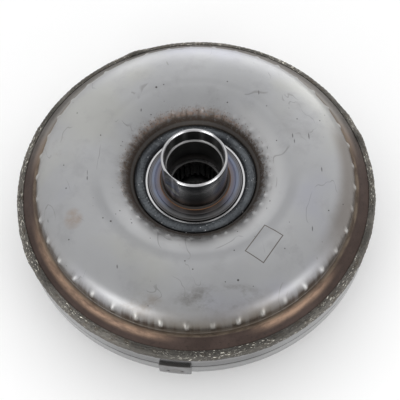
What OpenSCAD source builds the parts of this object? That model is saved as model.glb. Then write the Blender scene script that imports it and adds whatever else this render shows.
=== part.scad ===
// Torque converter: a welded housing that holds an impeller, a turbine, a stator on a
// one-way clutch, and a lock-up piston with a torsional damper.
// Z is the spin axis with the pump drive sleeve up; z = 0 is the face of the drive blocks.

/* [Housing] */
// Outer radius over the closure weld
rim_r = 130; // [129:0.5:132]
// Height of the closure weld above the drive block faces
weld_z = 50.5; // [48:0.5:54]
// Sheet thickness of the front cover
cover_t = 4.5; // [4.4:0.1:4.6]
// Outer radius of the cover's rounded corner
cover_corner_r = 17; // [15:0.5:22]
// Sheet thickness of the impeller shell
shell_t = 3; // [2.6:0.1:3]
// Height of the shell's crest above the weld
crest_h = 35; // [35:0.5:38]

/* [Impeller hub] */
// Outer radius of the pump drive sleeve
sleeve_r = 23; // [22.9:0.1:23.4]
// Inner radius of the sleeve's main bore
bore_r = 19.6; // [19.4:0.1:19.8]
// Height of the sleeve's end above the weld
sleeve_h = 47; // [44:1:56]
// Depth of each of the two drive flats
flat_depth = 1.1; // [0.6:0.1:1.2]
// Length of the drive flats
flat_len = 19; // [10:1:22]

/* [Drive side] */
// Number of drive blocks
block_count = 6; // [3:1:8]
// Radius of the drive bolt circle
bolt_circle_r = 98; // [94:1:98]
// Radius of each drive block's tapped hole
bolt_hole_r = 4.25; // [3:0.25:6]
// Radius of the crankshaft pilot
pilot_r = 17.5; // [14:0.5:22]

/* [Blades and rollers] */
// Number of impeller blades
impeller_blade_count = 41; // [21:1:43]
// Number of turbine blades
turbine_blade_count = 37; // [21:1:39]
// Number of stator blades
stator_blade_count = 19; // [11:1:21]
// Number of one-way clutch rollers
roller_count = 10; // [6:1:12]
// Number of needles in each thrust bearing
needle_count = 24; // [12:1:28]

/* [Hidden] */
$fn = 96;

// Cover: outer face height, inner face height, side wall and the shell lip inside it
face_z = weld_z - 39.5;
pilot_neck_r = pilot_r - 0.7;
pilot_neck_z = face_z - 2.6;
pilot_end_z = 1.2;
pilot_centre_r = 8.5;
pilot_centre_z = 3.5;
pilot_weld_h = 2.3;
floor_z = face_z + cover_t;
cover_r = rim_r - 1;
lip_r = cover_r - cover_t - 0.1;
cover_top_z = weld_z - 2;
groove_z = weld_z - 14;
groove_depth = 0.6;
lip_end_z = weld_z - 8;
weld_top_z = weld_z + 5.5;
washer_t = 1.4;

// Drive blocks, their fillet welds, and the balance weight
block_size = [18, 28];
block_first_a = 30;
block_weld_leg = 2.5;
block_weld_short = 4;
weight_a = 261.5;
weight_half_a = 4.9;
weight_t = 2.5;
weight_z = [weld_z - 24.4, weld_z - 9.8];

// Impeller shell: vertical wall, and the three arcs of its outer surface
wall_r = rim_r - 16.5;
crest_r = 75;
inner_arc_r = 35.5;
crest_arc_r = 60;
shoulder_arc_r = 18;
crest_z = weld_z + crest_h;
shoulder_r = wall_r - shoulder_arc_r;
shoulder_a = acos((shoulder_r - crest_r) / (crest_arc_r - shoulder_arc_r));
shoulder_z = crest_z - crest_arc_r + (crest_arc_r - shoulder_arc_r) * sin(shoulder_a);
throat_r = 38;
foot_r = sleeve_r + 2.2;
flat_a = 42;
sleeve_seam_a = flat_a - 52;
throat_z = weld_z + 16;
hub_weld_r = 43.4;
outer_start_a = 150;
inner_start_a = 154;

// Hub: sleeve, flange and the ledge that its weld sits on
foot_z = weld_z + 9.5;
land_z = weld_z + 15.8;
ledge_z = weld_z + 14.6;
ledge_r = 35.3;
land_edge_r = 33.4;
mouth_step = 1.2;
mouth_z = weld_z + 34.5;

// Torus: split plane between impeller and turbine, and the core ring's half section
split_z = weld_z + 7;
split_gap = 0.7;
core_r = 79;
core_w = 14;
core_h = 11;
core_t = 1.2;
stator_clear_r = 65.5;
stator_half_h = 8.2;

// Turbine: the three arcs of its shell's outer surface
turbine_t = 2;
turbine_r = wall_r - shell_t - 1.2;
turbine_arc = [22, 45, 30];
turbine_a = 60;
turbine_c1 = [turbine_r - turbine_arc[0], split_z - 2.5];
turbine_c2 = turbine_c1 + (turbine_arc[1] - turbine_arc[0]) * [-cos(turbine_a), sin(turbine_a)];
turbine_c3 = [turbine_c2[0], turbine_c2[1] - turbine_arc[1] + turbine_arc[2]];
turbine_flat_z = split_z - 20.2;
turbine_flange_r = 50;

// Turbine hub, its spline and the land that the piston slides on
hub_land_r = 27;
hub_foot_z = floor_z + 1.6;
hub_flange_t = 4.3;
turbine_spline_r = 11;
turbine_spline_count = 20;
rivet_count = 12;
rivet_circle_r = 44.5;
rivet_r = 2.2;
rivet_head = [3.4, 1.2];
turbine_spline_depth = 1.2;
turbine_spline_width = 1.7;
seal_z = floor_z + 6.5;
seal_groove_h = 2.5;
bearing_seat_r = 33;

// Stator: one-way clutch between the splined inner race and the aluminium wheel
race_r = 28;
race_z = split_z - 14;
race_h = 12;
stator_spline_r = 15.8;
stator_spline_count = 24;
stator_spline_depth = 1.3;
stator_spline_width = 2;
collar_r = 18.9;
collar_z = weld_z + 9;
roller_r = 3.5;
roller_circle_r = race_r + roller_r + 0.05;
cam_in_r = 33;
cam_r = 41;
plate_t = 1.1;
stator_hub_r = 47.5;
stator_core_r = 62;
spring_pocket_a = 11;
snap_ring_t = 1.15;

// Thrust bearings: race rings, needles and cage
bearing_in_r = 20.3;
bearing_out_r = 28.5;
bearing_race_t = 1;
needle_r = 1.15;
needle_len = 6;
needle_gap = 0.1;
needle_room = 2 * (needle_r + needle_gap);
rear_needle_z = race_z + race_h + bearing_race_t + needle_room / 2;
front_needle_z = race_z - bearing_race_t - needle_room / 2;

// Damper: four arm stations, each with a spring on either side
station_count = 4;
arm_half_a = 4;
stop_half_a = 5.9;
spring_circle_r = 99;
spring_z = floor_z + 12.9;
spring_coil_r = 4.4;
spring_wire_r = 1.1;
spring_turns = 8;
spring_start_a = 4.8;
spring_end_a = 38.2;
spring_rings_per_turn = 8;
spring_wire_sides = 5;
cage_z = floor_z + 5.8;
cage_t = 1.2;
cage_in_r = 62;
cage_wall_r = 106.3;
cage_wall_top = spring_z + 5.2;
ring_foot_r = 86;
ring_foot_t = 6.6;

// Lock-up piston, resting on its lining beside the cover
lining_z = floor_z + 0.1;
lining_t = 1.3;
piston_z = lining_z + lining_t;
piston_t = 3;
piston_r = 108.6;
lug_half_a = 2.7;
piston_hub_h = 9.5;
piston_hub_t = 2.4;
piston_rim_h = 10.5;
piston_dish = [56, 59];
lining_r = [90, 105];
lining_slots = 12;

function arc(c, r, a0, a1, n, first = 0) =
    [for (i = [first:n]) let (a = a0 + (a1 - a0) * i / n) c + r * [cos(a), sin(a)]];

function reversed(list) = [for (i = [len(list) - 1:-1:0]) list[i]];

// Impeller shell surface at depth t under the outer one, from the hub side to the wall
function shell_curve(t, start_a) = concat(
    arc([crest_r, crest_z - inner_arc_r], inner_arc_r - t, start_a, 90, 10),
    arc([crest_r, crest_z - crest_arc_r], crest_arc_r - t, 90, shoulder_a, 5, 1),
    arc([shoulder_r, shoulder_z], shoulder_arc_r - t, shoulder_a, 0, 6, 1));

// Turbine shell surface at depth t, from the rim to the inner flat
function turbine_curve(t, end_a) = concat(
    arc(turbine_c1, turbine_arc[0] - t, 0, -turbine_a, 6),
    arc(turbine_c2, turbine_arc[1] - t, -turbine_a, -90, 5, 1),
    arc(turbine_c3, turbine_arc[2] - t, -90, end_a, 6, 1));

// Half of the core ring's outline: side = 1 above the split plane, -1 below it
function core_curve(t, side) =
    [for (a = [0:15:180]) [core_r - (core_w - t) * cos(a),
        split_z + side * (split_gap + (core_h - split_gap - t) * sin(a))]];

module ring(r1, r2, z1, z2) {
    translate([0, 0, z1]) difference() {
        cylinder(r = r2, h = z2 - z1);
        translate([0, 0, -1]) cylinder(r = r1, h = z2 - z1 + 2);
    }
}

// A ring sector centred on direction a
module sector(r1, r2, z1, z2, a, half_a) {
    rotate([0, 0, a - half_a]) rotate_extrude(angle = 2 * half_a)
        translate([r1, z1]) square([r2 - r1, z2 - z1]);
}

module around(count, first_a = 0) {
    for (i = [0:count - 1]) rotate([0, 0, first_a + i * 360 / count]) children();
}

// Grooves of a splined bore, cut outwards from its tips
module spline_grooves(r, depth, width, count, z1, z2) {
    around(count) translate([r - 1, -width / 2, z1]) cube([1 + depth, width, z2 - z1]);
}

// ---------------------------------------------------------------- housing

module front_cover() {
    corner_c = [cover_r - cover_corner_r, face_z + cover_corner_r];
    inner_r = cover_corner_r - cover_t;
    outer = concat([[0, face_z]], arc(corner_c, cover_corner_r, -90, 0, 9),
        [[cover_r, groove_z - 0.6], [cover_r - groove_depth, groove_z - 0.4],
        [cover_r - groove_depth, groove_z + 0.4], [cover_r, groove_z + 0.6],
        [cover_r, cover_top_z]]);
    inner = concat([[0, floor_z]], arc(corner_c, inner_r, -90, 0, 9),
        [[corner_c[0] + inner_r, lip_end_z], [lip_r, lip_end_z], [lip_r, cover_top_z]]);
    color("lightgray") rotate_extrude() polygon(concat(outer, reversed(inner)));
}

module crank_pilot() {
    color("gainsboro") rotate_extrude() polygon([[0, pilot_centre_z],
        [pilot_centre_r - 2.5, pilot_centre_z], [pilot_centre_r, pilot_end_z],
        [pilot_r - 1, pilot_end_z], [pilot_r, pilot_end_z + 1], [pilot_r, pilot_neck_z],
        [pilot_neck_r, pilot_neck_z], [pilot_neck_r, face_z], [0, face_z]]);
}

module pilot_weld() {
    color("dimgray") rotate_extrude() polygon([[pilot_neck_r, face_z - pilot_weld_h],
        [pilot_r + 0.8, face_z - 1.8], [pilot_r + 2.4, face_z], [pilot_neck_r, face_z]]);
}

module drive_blocks() {
    color("silver") around(block_count, block_first_a) difference() {
        translate([bolt_circle_r - block_size[0] / 2, -block_size[1] / 2, 0])
            cube([block_size[0], block_size[1], face_z]);
        translate([bolt_circle_r, 0, -1]) cylinder(r = bolt_hole_r, h = face_z - 0.5);
    }
}

// Fillet beads along the inner edge and both ends of each block
module drive_block_welds() {
    leg = block_weld_leg;
    inner_len = block_size[1] - 2 * block_weld_short;
    end_len = block_size[0] - block_weld_short;
    color("dimgray") around(block_count, block_first_a) {
        translate([bolt_circle_r - block_size[0] / 2, inner_len / 2, face_z]) rotate([90, 0, 0])
            linear_extrude(inner_len) polygon([[0, 0], [-leg, 0], [0, -leg]]);
        for (side = [-1, 1])
            translate([bolt_circle_r - end_len / 2, side * block_size[1] / 2, face_z])
                rotate([90, 0, 90])
                    linear_extrude(end_len) polygon([[0, 0], [side * leg, 0], [0, -leg]]);
    }
}

module cover_thrust_washer() {
    color("saddlebrown") ring(13, hub_land_r - 2, floor_z, floor_z + washer_t);
}

module impeller_shell() {
    outer = concat([[throat_r, throat_z], [hub_weld_r + 0.2, throat_z]],
        shell_curve(0, outer_start_a),
        [[wall_r + 0.5, weld_z + 10.7], [wall_r + 1.6, weld_z + 10.2],
        [wall_r + 3.4, weld_z + 9.7], [wall_r + 4.8, weld_z + 9],
        [lip_r, weld_top_z], [lip_r, lip_end_z]]);
    inner = concat([[throat_r, throat_z - shell_t], [45, throat_z - shell_t]],
        shell_curve(shell_t, inner_start_a),
        [[wall_r - shell_t, weld_z + 8], [wall_r - 1, weld_z + 7.2],
        [lip_r - shell_t, weld_z + 3], [lip_r - shell_t, lip_end_z]]);
    color("silver") rotate_extrude() polygon(concat(outer, reversed(inner)));
}

// A sheet blade curved in plan, tall enough to be trimmed by the flow channel
module blade_strip(r1, r2, sweep, z1, z2) {
    bend_r = 150;
    t = 0.9;
    translate([0, 0, z1]) linear_extrude(z2 - z1) rotate(sweep) intersection() {
        translate([(r1 + r2) / 2, -bend_r]) difference() {
            circle(r = bend_r + t / 2, $fn = 180);
            circle(r = bend_r - t / 2, $fn = 180);
        }
        translate([r1, -20]) square([r2 - r1, 40]);
    }
}

module impeller_blades() {
    inner = shell_curve(shell_t, 148);
    last = inner[len(inner) - 1];
    base_z = split_z + split_gap;
    color("lightsteelblue") intersection() {
        rotate_extrude() difference() {
            polygon(concat([[inner[0][0], base_z]], inner, [[last[0], base_z]]));
            polygon(core_curve(0, 1));
            square([stator_clear_r, split_z + stator_half_h + 0.7]);
        }
        around(impeller_blade_count) blade_strip(44, wall_r, 4, base_z - 1, crest_z);
    }
}

module core_ring(side) {
    rotate_extrude() polygon(concat(core_curve(0, side), reversed(core_curve(core_t, side))));
}

module impeller_core_ring() {
    color("lightsteelblue") core_ring(1);
}

module pump_drive_sleeve() {
    top_z = weld_z + sleeve_h;
    mouth_r = bore_r + mouth_step;
    color("darkgray") difference() {
        rotate([0, 0, sleeve_seam_a]) rotate_extrude() polygon([[bore_r, foot_z], [bore_r, mouth_z],
            [mouth_r, mouth_z + 0.6], [mouth_r, top_z - 1.2], [mouth_r + 0.9, top_z],
            [sleeve_r - 0.7, top_z], [sleeve_r, top_z - 0.9], [sleeve_r, land_z + 1.8],
            [sleeve_r + 0.6, land_z + 0.7], [foot_r, land_z], [foot_r, foot_z]]);
        for (a = [flat_a, flat_a + 180]) rotate([0, 0, a])
            translate([sleeve_r - flat_depth, -15, top_z - flat_len]) cube([10, 30, flat_len + 1]);
    }
}

// Ring between the sleeve's foot and the shell
module hub_flange() {
    color("darkgray") rotate_extrude() polygon([[foot_r, foot_z], [foot_r, land_z],
        [land_edge_r, land_z - 0.3], [land_edge_r + 0.4, ledge_z - 1.3], [ledge_r, ledge_z],
        [throat_r, ledge_z], [throat_r, foot_z]]);
}

module hub_weld() {
    z = throat_z;
    color("slategray") rotate_extrude() polygon([[ledge_r, ledge_z], [throat_r, ledge_z],
        [throat_r, z], [hub_weld_r, z], [hub_weld_r - 0.6, z + 1.1], [41.2, z + 2.1],
        [39.4, z + 2.5], [37.6, z + 1.9], [36.3, z + 0.5], [ledge_r + 0.2, ledge_z + 0.7]]);
}

module closure_weld() {
    color("gray") rotate_extrude() polygon([[lip_r, cover_top_z], [cover_r, cover_top_z],
        [rim_r - 0.3, weld_z - 1.2], [rim_r, weld_z], [rim_r - 0.4, weld_z + 1.8],
        [rim_r - 1.8, weld_z + 3.8], [rim_r - 3.6, weld_top_z - 0.2], [lip_r, weld_top_z]]);
}

module balance_weight() {
    color("darkgray") sector(cover_r, cover_r + weight_t, weight_z[0], weight_z[1], weight_a, weight_half_a);
}

// ---------------------------------------------------------------- thrust bearings

module bearing_race(z) {
    ring(bearing_in_r, bearing_out_r, z, z + bearing_race_t);
}

module bearing_cage(z) {
    slot = [needle_len + 0.4, 2 * needle_r + 0.4, 3];
    difference() {
        ring(bearing_in_r + 0.4, bearing_out_r - 0.4, z - 0.75, z + 0.75);
        around(needle_count) translate([(bearing_in_r + bearing_out_r) / 2, 0, z])
            cube(slot, center = true);
    }
}

module bearing_needles(z) {
    around(needle_count) translate([(bearing_in_r + bearing_out_r - needle_len) / 2, 0, z])
        rotate([0, 90, 0]) cylinder(r = needle_r, h = needle_len, $fn = 24);
}

module rear_bearing_hub_race() {
    color("gainsboro") bearing_race(rear_needle_z + needle_room / 2);
}

module rear_bearing_cage() {
    color("tan") bearing_cage(rear_needle_z);
}

module rear_bearing_needles() {
    color("gainsboro") bearing_needles(rear_needle_z);
}

module rear_bearing_stator_race() {
    color("gainsboro") bearing_race(race_z + race_h);
}

module front_bearing_stator_race() {
    color("gainsboro") bearing_race(race_z - bearing_race_t);
}

module front_bearing_cage() {
    color("tan") bearing_cage(front_needle_z);
}

module front_bearing_needles() {
    color("gainsboro") bearing_needles(front_needle_z);
}

module front_bearing_turbine_race() {
    color("gainsboro") bearing_race(front_needle_z - needle_room / 2 - bearing_race_t);
}

// ---------------------------------------------------------------- stator and its clutch

module stator_inner_race() {
    top_z = race_z + race_h;
    color("dimgray") difference() {
        union() {
            ring(stator_spline_r, race_r, race_z, top_z);
            ring(stator_spline_r, collar_r, top_z, collar_z);
        }
        spline_grooves(stator_spline_r, stator_spline_depth, stator_spline_width,
            stator_spline_count, race_z - 1, collar_z + 1);
    }
}

module stator_blade() {
    chord = 2 * stator_half_h - 0.4;
    mid = 4;
    nose = [for (a = [180:30:360]) [mid * 0.4 + 1.9 * cos(a), -chord / 2 + 1.9 + 1.9 * sin(a)]];
    back = [[3.6, -chord * 0.25], [mid, 0], [3.2, chord * 0.22]];
    tail = [[-1.2, chord / 2], [-1.9, chord / 2]];
    belly = [[0.3, chord * 0.22], [0.9, 0], [0.5, -chord * 0.25]];
    translate([stator_hub_r - 1, 0, split_z - 0.5]) rotate([90, 0, 90])
        linear_extrude(stator_core_r - stator_hub_r + 2) polygon(concat(nose, back, tail, belly));
}

module stator_wheel() {
    lip_z = race_z - 2 * plate_t;
    groove = race_z + race_h + plate_t;
    color("lightgray") union() {
        difference() {
            ring(cam_r, stator_hub_r, lip_z, split_z + 4);
            ring(cam_r - 1, cam_r + 1.1, groove - 0.05, groove + 1.25);
        }
        ring(cam_r - 2, cam_r, lip_z, lip_z + plate_t);
        ring(stator_core_r, stator_core_r + 2, split_z - stator_half_h, split_z + stator_half_h - 1);
        around(stator_blade_count) stator_blade();
    }
}

module clutch_cam_ring() {
    color("gray") difference() {
        ring(cam_in_r, cam_r, race_z, race_z + race_h);
        around(roller_count) {
            translate([roller_circle_r + 0.3, 0.4, race_z - 1]) cylinder(r = roller_r + 0.5, h = race_h + 2);
            rotate([0, 0, spring_pocket_a]) translate([cam_in_r - 2, -4, race_z - 1])
                cube([5, 8, race_h + 2]);
        }
    }
}

module clutch_rollers() {
    color("gainsboro") around(roller_count) translate([roller_circle_r, 0, race_z + 0.4])
        cylinder(r = roller_r, h = race_h - 0.8);
}

// Folded leaf spring that pushes each roller up its ramp
module clutch_roller_springs() {
    t = 0.9;
    reach = 3.6;
    folds = 5;
    width = 1.6;
    edge = [for (i = [0:folds]) [width * (i % 2), i * reach / folds]];
    color("goldenrod") around(roller_count, spring_pocket_a)
        translate([cam_in_r - 0.6, -reach / 2, race_z + 1.5]) linear_extrude(race_h - 3)
            polygon(concat(edge, reversed([for (p = edge) p + [t, 0]])));
}

module clutch_rear_plate() {
    color("silver") ring(race_r + 0.9, cam_r, race_z + race_h, race_z + race_h + plate_t);
}

module clutch_front_plate() {
    color("silver") ring(race_r + 0.9, cam_r, race_z - plate_t, race_z);
}

// Split ring that closes the clutch, seated in the wheel's groove
module stator_snap_ring() {
    z = race_z + race_h + plate_t;
    color("gray") rotate([0, 0, 8]) rotate_extrude(angle = 344)
        translate([cam_r - 2.6, z]) square([3.5, snap_ring_t]);
}

// ---------------------------------------------------------------- turbine

module turbine_outline(t, end_a, lower_z) {
    rim = turbine_curve(t, end_a);
    polygon(concat([[rim[0][0], split_z - 1.2]], rim, [[40, lower_z], [40, split_z - 1.2]]));
}

module turbine_shell() {
    outer = concat([[turbine_r, split_z - 1]], turbine_curve(0, -127),
        [[54.5, turbine_flat_z], [40, turbine_flat_z]]);
    inner = concat([[turbine_r - turbine_t, split_z - 1]], turbine_curve(turbine_t, -132),
        [[53.5, turbine_flat_z + turbine_t], [40, turbine_flat_z + turbine_t]]);
    color("burlywood") difference() {
        rotate_extrude() polygon(concat(outer, reversed(inner)));
        around(rivet_count) translate([rivet_circle_r, 0, turbine_flat_z - 1])
            cylinder(r = rivet_r, h = turbine_t + 2);
    }
}

module turbine_blades() {
    inner = turbine_curve(turbine_t, -132);
    top_z = split_z - split_gap;
    color("wheat") intersection() {
        rotate_extrude() difference() {
            polygon(concat([[inner[0][0], top_z]], inner, [[50, turbine_flat_z + turbine_t + 1],
                [50, top_z]]));
            polygon(core_curve(0, -1));
            translate([0, split_z - stator_half_h - 0.7]) square([stator_clear_r, 40]);
        }
        around(turbine_blade_count)
            mirror([0, 1, 0]) blade_strip(48, turbine_r, 5, split_z - 30, top_z + 1);
    }
}

module turbine_core_ring() {
    color("wheat") core_ring(-1);
}

module turbine_hub() {
    top_z = front_needle_z - needle_room / 2 - bearing_race_t;
    under_z = turbine_flat_z - hub_flange_t;
    color("gray") difference() {
        rotate_extrude() polygon([[turbine_spline_r, hub_foot_z], [hub_land_r - 1, hub_foot_z],
            [hub_land_r, hub_foot_z + 1], [hub_land_r, seal_z], [hub_land_r - 2, seal_z],
            [hub_land_r - 2, seal_z + seal_groove_h], [hub_land_r, seal_z + seal_groove_h],
            [hub_land_r, under_z],
            [turbine_flange_r, under_z], [turbine_flange_r, turbine_flat_z],
            [bearing_seat_r, turbine_flat_z], [bearing_seat_r, top_z], [turbine_spline_r, top_z]]);
        spline_grooves(turbine_spline_r, turbine_spline_depth, turbine_spline_width,
            turbine_spline_count, hub_foot_z - 1, top_z + 1);
        around(rivet_count) translate([rivet_circle_r, 0, under_z - 1])
            cylinder(r = rivet_r, h = hub_flange_t + 2);
    }
}

module turbine_rivets() {
    top_z = turbine_flat_z + turbine_t;
    under_z = turbine_flat_z - hub_flange_t;
    color("silver") around(rivet_count) translate([rivet_circle_r, 0, 0]) {
        translate([0, 0, under_z]) cylinder(r = rivet_r, h = top_z - under_z);
        for (z = [top_z, under_z - rivet_head[1]])
            translate([0, 0, z]) cylinder(r = rivet_head[0], h = rivet_head[1]);
    }
}

module hub_seal_ring() {
    z = seal_z + 0.1;
    color("black") ring(hub_land_r - 1.8, hub_land_r + 0.2, z, z + seal_groove_h - 0.2);
}

// Ring welded under the turbine shell, with an arm between each pair of springs
module damper_driven_plate() {
    color("darkkhaki") {
        rotate_extrude() difference() {
            translate([ring_foot_r, spring_z - 3]) square([ring_foot_t, 12]);
            turbine_outline(0, -127, turbine_flat_z);
        }
        around(station_count) sector(ring_foot_r + 3, 104.2, spring_z - 2.6, spring_z + 3.2, 0, arm_half_a);
    }
}

// ---------------------------------------------------------------- damper and lock-up clutch

module damper_cage() {
    color("darkseagreen") difference() {
        union() {
            ring(cage_in_r, cage_wall_r, cage_z, cage_z + cage_t);
            ring(cage_wall_r - cage_t, cage_wall_r, cage_z, cage_wall_top);
        }
        around(station_count, 45)
            sector(cage_wall_r - 2 * cage_t, cage_wall_r + 1, cage_z + 1.8, cage_wall_top + 1, 0, 3);
    }
}

// Blocks that hold the outer ends of the springs
module damper_stops() {
    color("seagreen") around(station_count, 45)
        sector(93.6, cage_wall_r - 1.4, cage_z + cage_t, spring_z + 5, 0, stop_half_a);
}

// Centre of the spring wire at u (0 to 1) along a spring that spans angles a0 to a1
function wire_frame(u, a0, a1) = let (
    a = a0 + (a1 - a0) * u,
    phase = 360 * spring_turns * u,
    along = [-sin(a), cos(a), 0],
    outward = [cos(a), sin(a), 0],
    side = cos(phase) * outward + [0, 0, sin(phase)],
    turn = -sin(phase) * outward + [0, 0, cos(phase)],
    pitch = spring_circle_r * (a1 - a0) * PI / 180,
    tangent = pitch * along + spring_coil_r * 2 * PI * spring_turns * turn,
    third = cross(tangent / norm(tangent), side))
    [spring_circle_r * outward + [0, 0, spring_z] + spring_coil_r * side, side, third];

module coil_spring(a0, a1) {
    rings = spring_turns * spring_rings_per_turn;
    n = spring_wire_sides;
    points = [for (i = [0:rings]) let (f = wire_frame(i / rings, a0, a1))
        for (k = [0:n - 1]) let (b = 360 * k / n)
            f[0] + spring_wire_r * (cos(b) * f[1] + sin(b) * f[2])];
    near = [for (i = [0:rings - 1]) for (k = [0:n - 1])
        [i * n + k, i * n + (k + 1) % n, (i + 1) * n + k]];
    far = [for (i = [1:rings]) for (k = [0:n - 1])
        [i * n + k, (i - 1) * n + (k + 1) % n, i * n + (k + 1) % n]];
    caps = [[for (k = [n - 1:-1:0]) k], [for (k = [0:n - 1]) rings * n + k]];
    polyhedron(points, concat(near, far, caps), convexity = 10);
}

module damper_springs() {
    color("steelblue") around(station_count) {
        coil_spring(spring_start_a, spring_end_a);
        coil_spring(-spring_end_a, -spring_start_a);
    }
}

module lockup_piston() {
    top_z = piston_z + piston_t;
    lip_z = piston_z + piston_rim_h;
    bore = hub_land_r + 0.3;
    hub_end_z = piston_z + piston_hub_h;
    rim_in_r = piston_r - 2;
    color("cadetblue") union() {
        rotate_extrude() polygon([[bore, piston_z + 0.6], [bore, hub_end_z],
            [bore + piston_hub_t, hub_end_z], [bore + piston_hub_t, top_z + 1.4],
            [bore + piston_hub_t + 1.2, top_z + 0.5], [piston_dish[0], top_z + 0.5],
            [piston_dish[1], top_z], [rim_in_r, top_z], [rim_in_r, lip_z], [piston_r, lip_z],
            [piston_r, piston_z + 1], [piston_r - 1, piston_z], [piston_dish[1], piston_z],
            [piston_dish[0], piston_z + 0.6]]);
        around(station_count, 45) sector(105.3, 107, lip_z - 3.8, lip_z, 0, lug_half_a);
    }
}

module friction_lining() {
    color("olive") difference() {
        ring(lining_r[0], lining_r[1], lining_z, lining_z + lining_t);
        around(lining_slots) translate([lining_r[0] - 1, -1, lining_z - 1])
            cube([lining_r[1] - lining_r[0] + 3, 2, 1 + lining_t * 0.4]);
    }
}

front_cover();
crank_pilot();
pilot_weld();
drive_blocks();
drive_block_welds();
cover_thrust_washer();
impeller_shell();
impeller_blades();
impeller_core_ring();
pump_drive_sleeve();
hub_flange();
hub_weld();
closure_weld();
balance_weight();
rear_bearing_hub_race();
rear_bearing_cage();
rear_bearing_needles();
rear_bearing_stator_race();
stator_inner_race();
front_bearing_stator_race();
stator_wheel();
clutch_cam_ring();
clutch_rollers();
clutch_roller_springs();
clutch_rear_plate();
clutch_front_plate();
stator_snap_ring();
front_bearing_cage();
front_bearing_needles();
front_bearing_turbine_race();
turbine_shell();
turbine_blades();
turbine_core_ring();
turbine_hub();
turbine_rivets();
hub_seal_ring();
damper_driven_plate();
damper_cage();
damper_stops();
damper_springs();
lockup_piston();
friction_lining();
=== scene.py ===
import math

import bpy
import numpy as np
from mathutils import Matrix, Vector


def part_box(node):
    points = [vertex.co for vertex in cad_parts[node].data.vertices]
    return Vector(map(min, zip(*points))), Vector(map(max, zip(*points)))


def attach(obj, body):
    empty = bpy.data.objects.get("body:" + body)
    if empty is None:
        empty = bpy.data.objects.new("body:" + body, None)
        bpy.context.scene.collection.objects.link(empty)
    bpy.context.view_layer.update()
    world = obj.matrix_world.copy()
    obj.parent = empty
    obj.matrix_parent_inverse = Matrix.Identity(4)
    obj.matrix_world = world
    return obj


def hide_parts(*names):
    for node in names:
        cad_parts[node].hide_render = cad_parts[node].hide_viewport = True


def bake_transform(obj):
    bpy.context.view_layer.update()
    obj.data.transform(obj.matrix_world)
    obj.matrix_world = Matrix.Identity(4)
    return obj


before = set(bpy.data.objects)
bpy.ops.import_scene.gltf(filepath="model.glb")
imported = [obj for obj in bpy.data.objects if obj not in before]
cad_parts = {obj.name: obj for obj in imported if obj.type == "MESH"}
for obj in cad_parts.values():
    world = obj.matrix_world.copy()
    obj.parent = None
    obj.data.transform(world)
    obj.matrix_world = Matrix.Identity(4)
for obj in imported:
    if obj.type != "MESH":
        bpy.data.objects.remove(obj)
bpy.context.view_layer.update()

# -------- sizes, in millimetres
# W is the height of the closure weld's outer edge. Most heights are set from it.
MM = 0.001
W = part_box("closure_weld")[0][2] / MM + 2.0
RIM_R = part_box("closure_weld")[1][0] / MM
COVER_R = RIM_R - 1.0
LIP_R = RIM_R - 5.6
FACE_Z = W - 39.5
FLOOR_Z = FACE_Z + 4.5
WALL_R = RIM_R - 16.5
SHELL_T = 3.0
THROAT_R = 38.0
SLEEVE_R = 23.0
FOOT_R = 25.2
BORE_R = 19.6
SLEEVE_TOP_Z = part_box("pump_drive_sleeve")[1][2] / MM
LAND_Z = W + 15.8
BLADES = 41
BLADE_START = -86.2
FLAT_DIRECTIONS = (42.0, 222.0)
FLAT_DEPTH = 1.1
FLAT_BOTTOM_Z = SLEEVE_TOP_Z - 19.0
HUB_FOOT_Z = W + 9.5
LEDGE_Z = W + 14.6
CREST_R = 75.0
CREST_Z = W + 35.0
INNER_BEND = 35.5
OUTER_BEND = 60.0
SHOULDER_BEND = 18.0
SHOULDER_R = WALL_R - SHOULDER_BEND
# each row of blade-tab marks: radius, height, half length, half width, rise
TAB_ROWS = ((111.6, W + 17.3, 3.2, 2.0, 1.25), (52.0, W + 26.0, 2.3, 1.7, 0.42))
ETCH_X, ETCH_Y = 44.1, -61.6
ETCH_TURN = 53.0
ETCH_HALF = (11.8, 7.2)
BLOCKS = 6
BLOCK_FIRST = 30.0
BLOCK_CIRCLE_R = 98.0
BLOCK_HALF_R = 9.0
BLOCK_HALF_T = 14.0
SPRINGS = 8
SPRING_COIL_R = 4.4
SPRING_WIRE_R = 1.1
SPRING_TURNS = 8.0
SPRING_Z = FLOOR_Z + 12.9
UP = np.array([0.0, 0.0, 1.0])


# -------- outlines

def arc(cr, cz, r, a0, a1, n, first=0):
    """Points of an arc in the (radius, height) plane, angles in degrees."""
    steps = [a0 + (a1 - a0) * i / n for i in range(first, n + 1)]
    return [(cr + r * math.cos(math.radians(a)), cz + r * math.sin(math.radians(a))) for a in steps]


def rounded(corners, step=18.0):
    """A path through (r, z, radius) corners, each corner rounded by an arc of its radius."""
    path = []
    for i, corner in enumerate(corners):
        p = np.array(corner[:2], float)
        radius = corner[2] if len(corner) > 2 else 0.0
        if radius == 0.0 or i in (0, len(corners) - 1):
            path.append(tuple(p))
            continue
        a = np.array(corners[i - 1][:2], float) - p
        b = np.array(corners[i + 1][:2], float) - p
        la, lb = np.linalg.norm(a), np.linalg.norm(b)
        a, b = a / la, b / lb
        half = math.acos(max(-1.0, min(1.0, float(a @ b)))) / 2
        reach = min(radius / math.tan(half), 0.49 * la, 0.49 * lb)
        turn = math.degrees(math.pi - 2 * half)
        n = max(2, int(turn / step) + 1)
        start, end = p + a * reach, p + b * reach
        for k in range(n + 1):
            t = k / n
            path.append(tuple((1 - t) ** 2 * start + 2 * t * (1 - t) * p + t ** 2 * end))
    return path


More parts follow.
